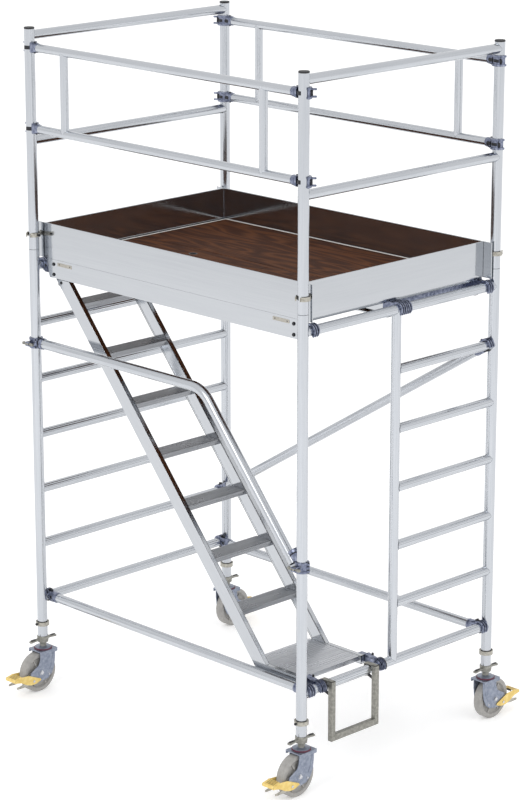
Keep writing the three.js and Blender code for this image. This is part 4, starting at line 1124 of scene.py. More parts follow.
# %% [markdown]
# The toe boards are thin extrusions with a rolled top bead and a small foot. Their inner faces
# are smooth enough to mirror the deck. Corner strips with a seam reach past each post.

# %% Toe boards
TOE_TOP_Z = box_mm("toe_board_front")[1].z
TOE_LOW_Z = box_mm("toe_board_front")[0].z
TOE_HALF_LENGTH = box_mm("toe_board_front")[1].x
END_BOARD_X = box_mm("toe_board_right")[1].x
CORNER_SEAM_X = 865.2


def toe_section(low, top):
    """Across the board, as (distance inwards, height)."""
    return [
        (0, low), (6, low), (6, low + 3), (5, low + 4), (5, top - 5), (6, top - 4),
        (6, top - 1.6), (5, top - 0.4), (3.6, top), (1.6, top), (0.3, top - 0.8), (0, top - 2.4),
    ]


for side, word in ((-1, "front"), (1, "rear")):
    metal = Shell()
    y = side * PLATFORM_Y
    stretches = [
        (-TOE_HALF_LENGTH, -CORNER_SEAM_X - 0.4), (0.4 - CORNER_SEAM_X, CORNER_SEAM_X - 0.4),
        (CORNER_SEAM_X + 0.4, TOE_HALF_LENGTH),
    ]
    for start, end in stretches:
        rings = [
            [Vector((x, y - side * a, z)) for a, z in toe_section(TOE_LOW_Z, TOE_TOP_Z)]
            for x in (start, end)
        ]
        loft(metal, rings, (1, 0, 0))
    piece(f"toe_profile_{word}", metal, sheet_aluminium, stands_for=[f"toe_board_{word}"], bevel=0.4)

for side, word in ((-1, "left"), (1, "right")):
    metal = Shell()
    x = side * END_BOARD_X
    low = box_mm(f"toe_board_{word}")[0].z
    reach = PLATFORM_Y - 6.5
    rings = [
        [Vector((x - side * a, y, z)) for a, z in toe_section(low, TOE_TOP_Z)]
        for y in (-reach, reach)
    ]
    loft(metal, rings, (0, 1, 0))
    piece(f"toe_profile_{word}", metal, sheet_aluminium, stands_for=[f"toe_board_{word}"], bevel=0.4)

# %% [markdown]
# ## Decks and the hatch
#
# The frame's deck boards and hatch lid already have their true shape: flat board with square
# edges. They keep it, and take the walnut film. A pale edging strip shows along the lips, and a
# cover strip fills the seam between the two decks. A strip hinge and a pressed ring round the
# finger hole go with the lid when it opens.

# %% Decks and hatch
for node in ("deck_panel_front", "deck_panel_rear", "hatch_lid"):
    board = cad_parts[node]
    board.data.materials.clear()
    board.data.materials.append(plywood_film)

edging = Shell()
deck_low, deck_high = box_mm("deck_panel_rear")
block(edging, (deck_low.x - 6.4, deck_low.x + 0.6), (-deck_high.y, deck_high.y + 5),
      (DECK_Z - 0.4, DECK_Z + 1.6))
block(edging, (deck_low.x, deck_high.x), (deck_high.y - 0.6, deck_high.y + 5),
      (DECK_Z - 0.4, DECK_Z + 1.6))
piece("deck_edging", edging, edge_vinyl, bevel=0.6)
cover = Shell()
seam_y = deck_low.y - 0.4
block(cover, (deck_low.x, deck_high.x), (-seam_y, seam_y), (DECK_Z - 5.5, DECK_Z - 0.8))
piece("deck_seam_cover", cover, plywood_film, bevel=0.6)

lid_low, lid_high = box_mm("hatch_lid")
hinge_leaf, ring_shell = Shell(), Shell()
block(
    hinge_leaf, (lid_low.x + 60, lid_high.x - 60), (lid_low.y + 0.5, lid_low.y + 16),
    (lid_low.z - 1.8, lid_low.z - 0.1),
)
for x in range(int(lid_low.x) + 90, int(lid_high.x) - 60, 90):
    stud = frame_at((x, lid_low.y + 9, lid_low.z - 1.7), (1, 0, 0), (0, 0, -1))
    lathe(hinge_leaf, [(3.4, 0), (3, 0.6), (1, 1.0)], stud, 16)
piece("hatch_hinge_leaf", hinge_leaf, spring_steel, body="hatch", bevel=0.3)
finger = Matrix.Translation(((lid_low.x + lid_high.x) / 2, -70.5, lid_high.z))
lathe(ring_shell, [(15.5, -12), (15.5, -0.4), (17.2, 0.5), (21.5, 0.4), (22, -0.2), (17.4, -0.4),
                   (17.4, -12)], finger, 40, closed=True)
piece("hatch_finger_ring", ring_shell, cap_plastic, body="hatch")

# %% [markdown]
# ## The stair
#
# Two box rails carry seven ribbed treads down to a ribbed landing. The ribs run across the
# stair, where a boot bears on them, and they are wider apart on the landing. A comb outline,
# lofted across, makes each plate in one piece.

# %% Stair places
treads = [f"stair_tread_{n}" for n in range(1, 8)]
front_low = box_mm("stair_stringer_front")[0]
rear_low = box_mm("stair_stringer_rear")[0]
top_high = box_mm(treads[0])[1]
last_high = box_mm(treads[-1])[1]
slope = atan2(top_high.z - last_high.z, last_high.x - top_high.x)
landing_high = box_mm("stair_landing")[1]
print("stair pitch", round(degrees(slope), 1), "degrees")

STRINGER_DEPTH = 70
STRINGER_WIDTH = 25


# %% [markdown]
# A comb outline gives the ribs real edges, which catch the light as lines. A bump map could not
# do that at this scale, because the ribs are high enough to shade each other.


# %% Treads and landing
TREAD_RIB_PITCH = 8.5
LANDING_RIB_PITCH = 17


def ribbed_outline(start, end, top, depth, rib_pitch, rib=1.6, wall=3.0):
    """A downward channel with small ribs on its top face, as (distance, height) points."""
    outline = [(start, top - depth), (start, top - rib)]
    count = int((end - start - 8) / rib_pitch)
    first = start + (end - start - count * rib_pitch) / 2
    for i in range(count):
        x = first + i * rib_pitch
        outline += [(x, top - rib), (x + 0.8, top), (x + rib_pitch * 0.5, top),
                    (x + rib_pitch * 0.5 + 0.8, top - rib)]
    outline += [(end, top - rib), (end, top - depth), (end - wall, top - depth),
                (end - wall, top - rib - wall), (start + wall, top - rib - wall),
                (start + wall, top - depth)]
    return outline


def ribbed_plate(shell, node, rib_pitch):
    low, high = box_mm(node)
    outline = ribbed_outline(low.x, high.x, high.z, high.z - low.z, rib_pitch)
    rings = [[Vector((x, y, z)) for x, z in outline] for y in (low.y, high.y)]
    loft(shell, rings, (0, 1, 0))


for number, node in enumerate(treads, 1):
    shell = Shell()
    ribbed_plate(shell, node, TREAD_RIB_PITCH)
    piece(f"ribbed_tread_{number}", shell, tread_aluminium, stands_for=[node], bevel=0.3)

shell = Shell()
ribbed_plate(shell, "stair_landing", LANDING_RIB_PITCH)
piece("ribbed_landing", shell, landing_aluminium, stands_for=["stair_landing"], bevel=0.3)


# %% [markdown]
# A stringer is a flat rail on edge. Its side view slopes down from the deck and ends in a level
# foot beside the landing. The same outline cuts both faces of the rail, and strips along its
# edges close it.


# %% Stringers
STRINGER_WALL = 3.5
LIP_DEPTH = 9
TOP_END, TOP_FLANGE, LOW_FLANGE = 4, 3, 5


def stringer_outline():
    """Side view of a stringer: a slope that ends in a level foot."""

    def upper(z):
        return top_high.x - (z - top_high.z) / tan(slope)

    drop = STRINGER_DEPTH / sin(slope)
    top_z = RAIL_LOW_Z - 12
    foot_top, foot_low = landing_high.z - 0.3, landing_high.z - 40
    foot_end = landing_high.x + 8
    return [
        (upper(foot_low) - drop, foot_low), (foot_end, foot_low), (foot_end, foot_top),
        (upper(foot_top), foot_top), (upper(top_z), top_z), (upper(top_z) - drop, top_z),
    ]


def stringer(shell, face_y, outward):
    """A flat box rail with a raised lip along both edges of its inner face."""
    outline = stringer_outline()
    near, far = face_y, face_y + outward * STRINGER_WIDTH
    wall = STRINGER_WALL
    grain = (cos(slope), -sin(slope), 0)
    for face in (far, near + outward * (wall + 1.2)):
        plate(shell, outline, *sorted((face, face - outward * wall)), SIDE_VIEW, grain)

    def edge_strip(index, depth, span):
        a, b = Vector(outline[index]), Vector(outline[(index + 1) % len(outline)])
        way = (b - a).normalized()
        inward = Vector((-way.y, way.x)) * depth
        strip = [tuple(p) for p in (a, b, b + inward, a + inward)]
        plate(shell, strip, *sorted(span), SIDE_VIEW)

    for index in range(len(outline)):
        if index != TOP_END:
            edge_strip(index, wall, (near, far - outward * 0.5))
    for index in (TOP_FLANGE, LOW_FLANGE):
        edge_strip(index, LIP_DEPTH, (near, near + outward * 2.4))


# %% [markdown]
# The stair hangs by cast hooks at its top and rests on cast hooks at its foot. Each is a stack
# of flanges over a rung and an arm that runs into the stringer.


# %% Stair hooks
def stair_hooks(face_y):
    cast, dark = Shell(), Shell()
    inner, outer = RUNG_RADIUS + CLEARANCE, RUNG_RADIUS + 12
    foot_end = landing_high.x + 8
    foot_top = landing_high.z
    up = frame_at((POST_X, face_y, FIRST_RUNG_Z), (0, 0, 1), (0, 1, 0))
    for low, size in ((0, outer - 2), (10, outer), (20, outer), (30, outer - 1)):
        plate(cast, crescent(inner, size, 118), low, low + 5.5, up)
        plate(cast, crescent(size - 2, size + 1.4, 112), low + 1.5, low + 4, up)
    plate(cast, crescent(inner, outer - 7, 118), 0.3, 35.3, up)
    # The dark ring between the flanges is painted shade.
    plate(dark, crescent(outer - 8, outer - 5.5, 114), 0.5, 35, up)
    arm = rounded([
        (foot_end - 50, foot_top - 34), (POST_X - 26, foot_top - 34),
        (POST_X - 23.6, FIRST_RUNG_Z), (POST_X - 16, FIRST_RUNG_Z + 28), (foot_end - 5, foot_top + 3),
        (foot_end - 6, foot_top - 4), (foot_end - 50, foot_top - 4),
    ], 2.5)
    plate(cast, arm, face_y + 0.5, face_y + 34, SIDE_VIEW)
    knob = Matrix.Translation((POST_X - 34, face_y + 17, foot_top + 4))
    lathe(dark, [(5.5, 0), (5.5, 9), (4.5, 11), (1.5, 11.6)], knob, 20)
    end_cap = frame_at((POST_X, face_y + 35.5, FIRST_RUNG_Z), (0, 0, 1), (0, 1, 0))
    plate(dark, crescent(inner, outer + 0.5, 120), 0, 6, end_cap)
    up = frame_at((-POST_X, face_y, TOP_RUNG_Z), (0, 0, 1), (0, 1, 0))
    for low in (0, 9, 18):
        plate(cast, crescent(inner, outer, 140), low, low + 6, up)
    # The dark web between the flanges is painted shade.
    plate(dark, crescent(inner, outer - 4, 136), 0.5, 23, up)
    top_x, top_z = stringer_outline()[-1]
    arm = rounded([
        (top_x + 11, top_z - 50), (top_x + 70, top_z - 50), (top_x + 70, top_z - 4),
        (24 - POST_X, TOP_RUNG_Z + 18), (24 - POST_X, TOP_RUNG_Z - 6), (26 - POST_X, TOP_RUNG_Z - 24),
    ], 3)
    plate(cast, arm, face_y + 0.5, face_y + 24, SIDE_VIEW)
    for x, z in ((top_x + 26, top_z - 26), (top_x + 54, top_z - 34)):
        hex_bolt(dark, frame_at((x, face_y + 24, z), (1, 0, 0), (0, 1, 0)))
    return cast, dark


# %% Put the stair together
for face_y, outward, word in (
    (front_low.y + STRINGER_WIDTH, -1, "front"), (rear_low.y, 1, "rear"),
):
    hook_y = max(face_y, face_y + outward * STRINGER_WIDTH)
    metal = Shell()
    stringer(metal, face_y, outward)
    node = f"stair_stringer_{word}"
    piece(f"stringer_channel_{word}", metal, sheet_aluminium, stands_for=[node], bevel=0.5)
    hooks = ClawSet()
    hooks.add(stair_hooks(hook_y), Matrix.Identity(4))
    hooks.finish(f"stair_{word}", [node])
    bracket, bolt = Shell(), Shell()
    corner = stringer_outline()[-1]
    outer_y = face_y + outward * STRINGER_WIDTH
    tab = rounded([
        (corner[0] + 14, corner[1] - 30), (corner[0] + 58, corner[1] - 30),
        (corner[0] + 62, corner[1] + 9), (corner[0] + 10, corner[1] + 9),
    ], 5)
    plate(bracket, tab, *sorted((outer_y - outward * 1, outer_y - outward * 4)), SIDE_VIEW)
    head = frame_at((corner[0] + 36, outer_y, corner[1] - 14), (1, 0, 0), (0, outward, 0))
    hex_bolt(bolt, head, 11, 4)
    piece(f"stair_top_bracket_{word}", bracket, dark_steel_and_painted_shade, bevel=0.6)
    piece(f"stair_top_bolt_{word}", bolt, dark_steel_and_painted_shade)

# %% [markdown]
# ## Handrail
#
# The handrail is one tube, bent once. Its path is two straight runs joined by an arc that
# touches both, and rings follow the path at right angles to it.


# %% Handrail
def bent_tube(shell, corners, bend, radius, wall=2.0, count=SIDES, steps=14):
    """A hollow tube through corner points that share one y, with one bend radius."""
    start, knee, end = (Vector(c) for c in corners)
    before = (start - knee).normalized()
    after = (end - knee).normalized()
    half = before.angle(after) / 2
    setback = bend / tan(half)
    centre = knee + (before + after).normalized() * (bend / sin(half))
    first, last = knee + before * setback, knee + after * setback
    arm, arm_end = first - centre, last - centre
    turn = arm.angle(arm_end)
    path = [start]
    for i in range(steps + 1):
        t = i / steps
        blend = (arm * sin((1 - t) * turn) + arm_end * sin(t * turn)) / sin(turn)
        path.append(centre + blend)
    path.append(end)
    outside, inside, flow, travelled = [], [], [], 0
    side = Vector((0, 1, 0))
    for i, point in enumerate(path):
        ahead = path[min(i + 1, len(path) - 1)] - path[max(i - 1, 0)]
        if i:
            travelled += (point - path[i - 1]).length
        up = ahead.normalized().cross(side)
        for rings, size in ((outside, radius), (inside, radius - wall)):
            rings.append([
                point + (side * cos(t) + up * sin(t)) * size
                for t in (2 * pi * j / count for j in range(count))
            ])
        flow.append(travelled)
    rings = outside + inside[::-1]
    distances = flow + flow[::-1]
    first_point = len(shell.points)
    loft(shell, rings, closed=True)
    for i, distance in enumerate(distances):
        for j in range(count):
            t = 2 * pi * j / count
            here = first_point + i * count + j
            shell.flow[here] = Vector((distance, radius * cos(t), radius * sin(t)))


HANDRAIL_RADIUS = 24
HANDRAIL_BEND = 150
upper_low, upper_high = box_mm("handrail_coupler_upper")
lower_low, lower_high = box_mm("handrail_coupler_lower")
UPPER_Z = (upper_low.z + upper_high.z) / 2
LOWER_Z = (lower_low.z + lower_high.z) / 2
END_X = POST_X - 48
KNEE_X = END_X - (UPPER_Z - LOWER_Z) / tan(slope)
metal = Shell()
corners = [
    (-END_X, -POST_Y, UPPER_Z), (KNEE_X, -POST_Y, UPPER_Z),
    (END_X - 4, -POST_Y, LOWER_Z + 4 * tan(slope)),
]
bent_tube(metal, corners, HANDRAIL_BEND, HANDRAIL_RADIUS)
piece("handrail_tube", metal, tube_aluminium, stands_for=["handrail"])


# %% [markdown]
# Each end of the handrail sits in a hinged coupler: a ring in two halves round the post, a cast
# socket, a swing bolt, and a wing nut that draws the halves together.


# %% Couplers
def coupler(side, z, along):
    cast, dark, brown = Shell(), Shell(), Shell()
    x = side * POST_X
    here = Matrix.Translation((x, -POST_Y, z))
    inner, outer = POST_RADIUS + CLEARANCE, POST_RADIUS + 8.6
    for low, high, size in ((-25, -14, outer), (-14.5, 14.5, outer - 3.4), (14, 25, outer)):
        profile = [(inner, low), (size - 0.8, low), (size, low + 0.8), (size, high - 0.8),
                   (size - 0.8, high), (inner, high)]
        lathe(cast, profile, here, 48, closed=True)
    inward = Vector((-side, 0, 0))
    toward = Vector(along)
    neck = frame_at((x, -POST_Y, z), toward, (0, 1, 0))
    reach = 47 / abs(toward.x)
    sections = [(26, 20, 20, 3), (36, 23, 23, 2.4), (reach + 1, 25.6, 25.6, 2)]
    loft(cast, [[neck @ p for p in squared_ring(*s)] for s in sections], inward)
    collar = frame_at((x, -POST_Y, z), (0, 1, 0), toward)
    lathe(cast, [(23.4, reach - 3), (27.5, reach - 2), (27.5, reach + 12), (26.3, reach + 14),
                 (23.9, reach + 14)], collar, 44, closed=True)
    lathe(dark, [(26.2, reach - 8), (27.8, reach - 7.6), (27.8, reach - 3.4), (26.2, reach - 3)],
          collar, 44, closed=True)
    front = -POST_Y - outer
    hinge = frame_at((x + side * 30, -POST_Y + 8, z - 25), (1, 0, 0), (0, 0, 1))
    lathe(dark, [(6.5, 0), (6.5, 50), (4, 51), (1, 51.2)], hinge, 20)
    for dz in (-16, 0, 16):
        knuckle = frame_at((x + side * 30, -POST_Y + 8, z + dz - 5), (1, 0, 0), (0, 0, 1))
        lathe(cast, [(8.6, 0), (8.6, 10)], knuckle, 24)
    lug = [(-13, -26.5), (13, -26.5), (13, 20), (-13, 20)]
    lug_place = frame_at((x, front + 0.5, z), (1, 0, 0), (0, 0, 1))
    plate(cast, rounded(lug, 4), -10, -4, lug_place)
    plate(cast, rounded(lug, 4), 4, 10, lug_place)
    bolt = frame_at((x, front + 10, z), (1, 0, 0), (0, -1, 0))
    lathe(dark, [(4.5, 0), (4.5, 34), (3.5, 35.5), (1, 35.6)], bolt, 20)
    lathe(brown, [(11, 22), (12.5, 23), (12.5, 26), (9.5, 27), (8.5, 34), (6, 36), (4.6, 36.2)],
          bolt, 28)
    wings = slot_outline(76, 13)
    wing_place = frame_at((x, front, z), (1, 0, 0), (0, -1, 0))
    plate(brown, wings, 14.5, 21.5, wing_place)
    for dx in (-31, 31):
        tip = frame_at((x + dx, front, z), (1, 0, 0), (0, -1, 0))
        lathe(brown, [(6.9, 12.5), (7.4, 13.5), (7.4, 22.5), (6.9, 23.5)], tip, 24)
    for dz in (-19.5, 19.5):
        screw = frame_at((x - side * 22, -POST_Y - 23, z + dz), (1, 0, 0), (-side * 0.7, -0.7, 0))
        hex_bolt(dark, screw, 10, 5)
    return cast, dark, brown


sloping = (-cos(slope), 0, sin(slope))
for word, side, z, along in (("upper", -1, UPPER_Z, (1, 0, 0)), ("lower", 1, LOWER_Z, sloping)):
    cast, dark, brown = coupler(side, z, along)
    node = f"handrail_coupler_{word}"
    piece(f"coupler_{word}", cast, die_cast, stands_for=[node], bevel=0.8)
    piece(f"coupler_{word}_bolts", dark, dark_steel_and_painted_shade, bevel=0.4)
    piece(f"coupler_{word}_wing_nut", brown, zinc_steel, bevel=0.8)

# %% [markdown]
# ## Hanging entry step
#
# A stirrup of hot-dip galvanised angle hangs on the lowest rung of the doorway. Its legs are
# folded strips, and spring latches under the rung keep it from lifting off.


# %% Entry step
step_low, step_high = box_mm("entry_step")
STEP_FACE_X = POST_X + RUNG_RADIUS + CLEARANCE
LEG_WIDTH = 25
STEP_WALL = 3.6


def entry_step():
    metal, dark, springs = Shell(), Shell(), Shell()
    hook_top = FIRST_RUNG_Z + RUNG_RADIUS + CLEARANCE
    lip_x = POST_X - RUNG_RADIUS - CLEARANCE
    upright = Matrix.Identity(4)
    for low_y in (step_low.y, step_high.y - LEG_WIDTH):
        y, high_y = low_y + LEG_WIDTH / 2, low_y + LEG_WIDTH
        w = STEP_WALL
        outer = step_high.x
        angle = [
            (STEP_FACE_X, low_y), (outer, low_y), (outer, high_y), (outer - w, high_y),
            (outer - w, low_y + w), (STEP_FACE_X, low_y + w),
        ]
        plate(metal, angle, step_low.z, hook_top + w, upright, grain=(0, 0, 1))
        hook = [
            (lip_x - w, hook_top - 19), (lip_x, hook_top - 19), (lip_x, hook_top),
            (outer, hook_top), (outer, hook_top + w), (lip_x, hook_top + w),
            (lip_x - w, hook_top + w * 0.2),
        ]
        plate(metal, hook, low_y, high_y, SIDE_VIEW)
        bolt = frame_at((outer - w, y + 2, FIRST_RUNG_Z - 62), (0, 1, 0), (1, 0, 0))
        hex_bolt(dark, bolt, 11, 3.5)
        latch = rounded([
            (POST_X - 46, FIRST_RUNG_Z - 40), (POST_X - 12, FIRST_RUNG_Z - 28),
            (STEP_FACE_X + 6, FIRST_RUNG_Z - 44), (STEP_FACE_X + 20, FIRST_RUNG_Z - 58),
            (STEP_FACE_X + 18, FIRST_RUNG_Z - 64), (STEP_FACE_X + 2, FIRST_RUNG_Z - 50),
            (POST_X - 12, FIRST_RUNG_Z - 37), (POST_X - 48, FIRST_RUNG_Z - 50),
        ], 2)
        plate(springs, latch, y - 4, y + 8, SIDE_VIEW)
    across = (step_low.y + LEG_WIDTH - 2, step_high.y - LEG_WIDTH + 2)
    bar = [
        (STEP_FACE_X, step_low.z + 26), (step_high.x - STEP_WALL, step_low.z + 26),
        (step_high.x - STEP_WALL, step_low.z), (step_high.x, step_low.z),
        (step_high.x, step_low.z + 30), (STEP_FACE_X, step_low.z + 30),
    ]
    plate(metal, bar, *across, SIDE_VIEW, grain=(0, 0, 1))
    for i in range(9):
        y = across[0] + 16 + i * (across[1] - across[0] - 32) / 8
        stud = Matrix.Translation((STEP_FACE_X + 11, y, step_low.z + 29.8))
        lathe(metal, [(4.2, 0), (3.4, 1.0), (1.4, 1.4)], stud, 16)
    return metal, dark, springs


metal, dark, springs = entry_step()
piece("step_stirrup", metal, zinc_steel, stands_for=["entry_step"], bevel=1.0)
piece("step_bolts", dark, dark_steel_and_painted_shade, bevel=0.3)
piece("step_latch_springs", springs, dark_steel_and_painted_shade, bevel=0.4)

# %% [markdown]
# ## Caps and clips
#
# Black caps close the posts. A spring band locks each guard frame to the frame below, and the
# same band holds the levelling stem at each foot: a strip bent almost full circle, with a pin.


# %% Caps and clips
def spring_band(shell, dark, x, y, z, mouth, pin):
    """A band round a post. Mouth and pin are directions in degrees."""
    inner, outer, half = POST_RADIUS + 6.0, POST_RADIUS + 8.2, 10.0
    here = Matrix.Translation((x, y, z))
    start, end = mouth + 24, mouth + 336
    outline = arc(0, 0, outer, start, end, 40) + arc(0, 0, inner, end, start, 40)
    plate(shell, outline, -half, half, here)
    for turn in (start, end):
        tip = radians(turn)
        flare = frame_at((x + outer * cos(tip), y + outer * sin(tip), z),
                         (cos(tip), sin(tip), 0), (0, 0, 1))
        plate(shell, [(-2, -1), (5, -1), (5, 1), (-2, 1)], -half, half, flare)
    way = radians(pin)
    knob = frame_at((x, y, z), (0, 0, 1), (cos(way), sin(way), 0))
    profile = [(4.4, POST_RADIUS), (4.4, outer + 4), (6.4, outer + 4.6), (6.4, outer + 8.2),
               (5, outer + 9), (1, outer + 9.2)]
    lathe(dark, profile, knob, 24)


for name, (side_x, side_y) in CORNERS.items():
    x, y = side_x * POST_X, side_y * POST_Y
    cap = Shell()
    profile = [(20.4, -7), (20.8, 0), (24.6, 0.2), (25, 1.2), (25, 5.4), (23.4, 7.3), (17, 8), (1, 8)]
    lathe(cap, profile, Matrix.Translation((x, y, POST_TOP_Z + 0.2)), 56)
    piece(f"post_cap_{name}", cap, cap_plastic, stands_for=[f"end_cap_{name}"])
    clip_z = middle_mm(f"frame_lock_clip_{name}").z
    band, pin = Shell(), Shell()
    inward = 0 if side_x < 0 else 180
    spring_band(band, pin, x, y, clip_z, 90 * side_y, inward)
    piece(f"lock_band_{name}", band, spring_steel,
          stands_for=[f"frame_lock_clip_{name}"], bevel=0.4)
    piece(f"lock_pin_{name}", pin, dark_steel_and_painted_shade)
    band, pin = Shell(), Shell()
    spring_band(band, pin, x, y, POST_FOOT_Z + 66, 135, 90 * side_y)
    piece(f"stem_band_{name}", band, spring_steel, bevel=0.4)
    piece(f"stem_pin_{name}", pin, dark_steel_and_painted_shade)

# %% [markdown]
# ## Casters
#
# A caster has five moving parts: a threaded stem that slides in the post, the wing nut that
# carries the load, a fork that swivels under the stem, a wheel, and a pedal that locks it. They
# are built once at the origin, trailing towards -y, and copied to each corner. Rear casters are
# turned half round.

# %% Sizes of a caster
WHEEL_RADIUS = 100
WHEEL_WIDTH = 50
TRAIL = 40
FORK_TOP_Z = 214
CHEEK_IN = 27.5
CHEEK_OUT = 33.5
AXLE = Vector((0, -TRAIL, WHEEL_RADIUS))
PIVOT = Vector((0, -TRAIL - 54, WHEEL_RADIUS - 30))
STEM_RADIUS = 17
THREAD_PITCH = 8
sideways = frame_at(AXLE, (0, 1, 0), (1, 0, 0))


# %% [markdown]
# The stem carries a rounded thread. A helix is easy with rings: each ring's radius swells where
# the thread's crest passes, and the crest moves round a little from ring to ring.


# %% Stem
def threaded_stem():
    """A hollow stem whose outside follows a rounded thread."""
    stem, seal, flange = Shell(), Shell(), Shell()
    count, rows = 32, 6
    low = FORK_TOP_Z + 11
    turns = 32
    rings = [circle(STEM_RADIUS - 1.4, low, count)]
    for row in range(turns * rows + 1):
        z = low + 2 + row * THREAD_PITCH / rows
        ring = []
        for i in range(count):
            phase = 2 * pi * (row / rows - i / count)
            radius = STEM_RADIUS - 0.8 + 0.75 * cos(phase)
            angle = 2 * pi * i / count
            ring.append(Vector((radius * cos(angle), radius * sin(angle), z)))
        rings.append(ring)
    top = POST_FOOT_Z + 350
    rings.append(circle(STEM_RADIUS - 0.8, top - 2, count))
    rings.append(circle(STEM_RADIUS - 2.8, top, count))
    loft(stem, rings)
    ring_profile = [(11, 0.4), (44, 0.4), (45, 1.2), (45, 5.2), (44, 6.1), (11, 6.1)]
    lathe(seal, ring_profile, Matrix.Translation((0, 0, FORK_TOP_Z)), 56, closed=True)
    flange_profile = [(10, 6), (41, 6), (41, 8.2), (39, 9.4), (26, 9.8), (20, 12.4), (17.2, 13),
                      (10, 13)]
    lathe(flange, flange_profile, Matrix.Translation((0, 0, FORK_TOP_Z)), 56, closed=True)
    pin = Matrix.Translation((0, 0, FORK_TOP_Z - 12))
    lathe(flange, [(11.5, 0), (13, 0.8), (13, 5), (9.5, 5.4), (9.5, 18)], pin, 32)
    return stem, seal, flange


# %% [markdown]
# The levelling nut is turned by hand, so it has two long arms. Each arm is a loft of rounded
# rectangles that grows wider towards its tip.


# %% Levelling nut
def wing_nut():
    """A round nut with two cast arms, each with a dished end shown by a slot of painted shade."""
    metal = Shell()
    top = POST_FOOT_Z - 0.3
    low = top - 32
    body = [(17.7, low), (25, low), (27, low + 1.6), (27.6, low + 10), (28.6, low + 13),
            (29, low + 30), (27.6, top), (17.7, top)]
    lathe(metal, body, Matrix.Identity(4), 48, closed=True)
    for side in (-1, 1):
        sections = []
        for reach, half_x, half_z, z in (
            (22, 10.5, 8, low + 16), (36, 9, 6, low + 16), (56, 9, 5.4, low + 15),
            (70, 10.6, 5.4, low + 14), (79, 10.6, 5.2, low + 13), (83, 7, 4, low + 13),
        ):
            ring = squared_ring(0, half_x, half_z, 3.2)
            sections.append([Vector((p.y, side * reach, z + p.z)) for p in ring])
        loft(metal, sections, (0, 1, 0))
    # The dark slots on the arms are painted shade in the dishes.
    dark = Shell()
    for side in (-1, 1):
        pocket = Matrix.Translation((0, side * 62, low + 21.3))
        outline = [(y, x) for x, y in slot_outline(32, 10)]
        plate(dark, outline, 0, 0.9, pocket)
    return metal, dark


# %% [markdown]
# The fork is pressed from plate: a flat top with folded rims, and two cheeks that widen round
# the axle. The cheek's front edge is scooped, and it shows the tyre.


# %% Fork
def caster_fork():
    metal, bolts = Shell(), Shell()
    top, low = FORK_TOP_Z, FORK_TOP_Z - 6
    outer = rounded([(-47.5, -56), (47.5, -56), (47.5, 56), (-47.5, 56)], 6)
    turns = [2 * pi * i / len(outer) for i in range(len(outer))]
    hole = [(10.5 * cos(t), 10.5 * sin(t)) for t in turns]
    start = min(range(len(outer)), key=lambda i: abs(atan2(outer[i][1], outer[i][0])))
    ordered = outer[start:] + outer[:start]
    rings = [
        [Vector((x, y, z)) for x, y in outline]
        for outline, z in ((ordered, low), (ordered, top), (hole, top), (hole, low))
    ]
    loft(metal, rings, (0, 1, 0), closed=True)
    for side in (-1, 1):
        rim = sorted((side * 47.3, side * 42.5))
        block(metal, rim, (-53, 53), (top - 18, top - 2), (0, 1, 0))
    cheek = rounded([
        (50.5, low + 1), (-45, low + 1), (-46, low - 40), (-56, 142), (-80, 128), (-104, 115),
        (-113.5, 94), (-110, 66), (-84, 52.5), (-40, 54.5), (0, 60.5), (28, 82), (44, 116),
        (50.5, 166),
    ], 4)
    groove = rounded([
        (34, low - 12), (41, low - 14), (38, 160), (33, 132), (16, 104), (10, 106), (26, 134),
        (31, 160),
    ], 2.5)
    for side in (-1, 1):
        flat = end_view(side)
        plate(metal, cheek, CHEEK_IN, CHEEK_OUT - 1.5, flat, grain=(0, 1, 0))
        plate(metal, groove, CHEEK_OUT - 2, CHEEK_OUT, flat, grain=(0, 1, 0))
        outward = frame_at((0, 0, 0), (0, 1, 0), (side, 0, 0)).to_3x3().to_4x4()
        boss = Matrix.Translation(AXLE + Vector((side * (CHEEK_OUT - 2), 0, 0))) @ outward
        lathe(metal, [(21, 0), (20, 1.6), (14, 2), (8, 2)], boss, 36)
        nut = Matrix.Translation(AXLE + Vector((side * CHEEK_OUT, 0, 0))) @ outward
        hex_bolt(bolts, nut, 17, 7)
        stop_bolt = Matrix.Translation((side * (CHEEK_OUT - 1.6), 9, 81)) @ outward
        hex_bolt(bolts, stop_bolt, 8, 3.4)
        pivot = Matrix.Translation(PIVOT + Vector((side * (CHEEK_OUT - 1), 0, 0))) @ outward
        lathe(bolts, [(4.6, 0), (4.6, 6.2), (6.6, 6.6), (6.6, 7.6), (4.6, 8.6), (1, 8.8)], pivot, 24)
    through = frame_at(AXLE - Vector((CHEEK_IN, 0, 0)), (0, 1, 0), (1, 0, 0))
    lathe(bolts, [(8.8, 0), (8.8, 2 * CHEEK_IN)], through, 24)
    return metal, bolts


# %% [markdown]
# The wheel is moulded in one grey polymer: a hub with a bearing, six ribs and a nearly flat tread.


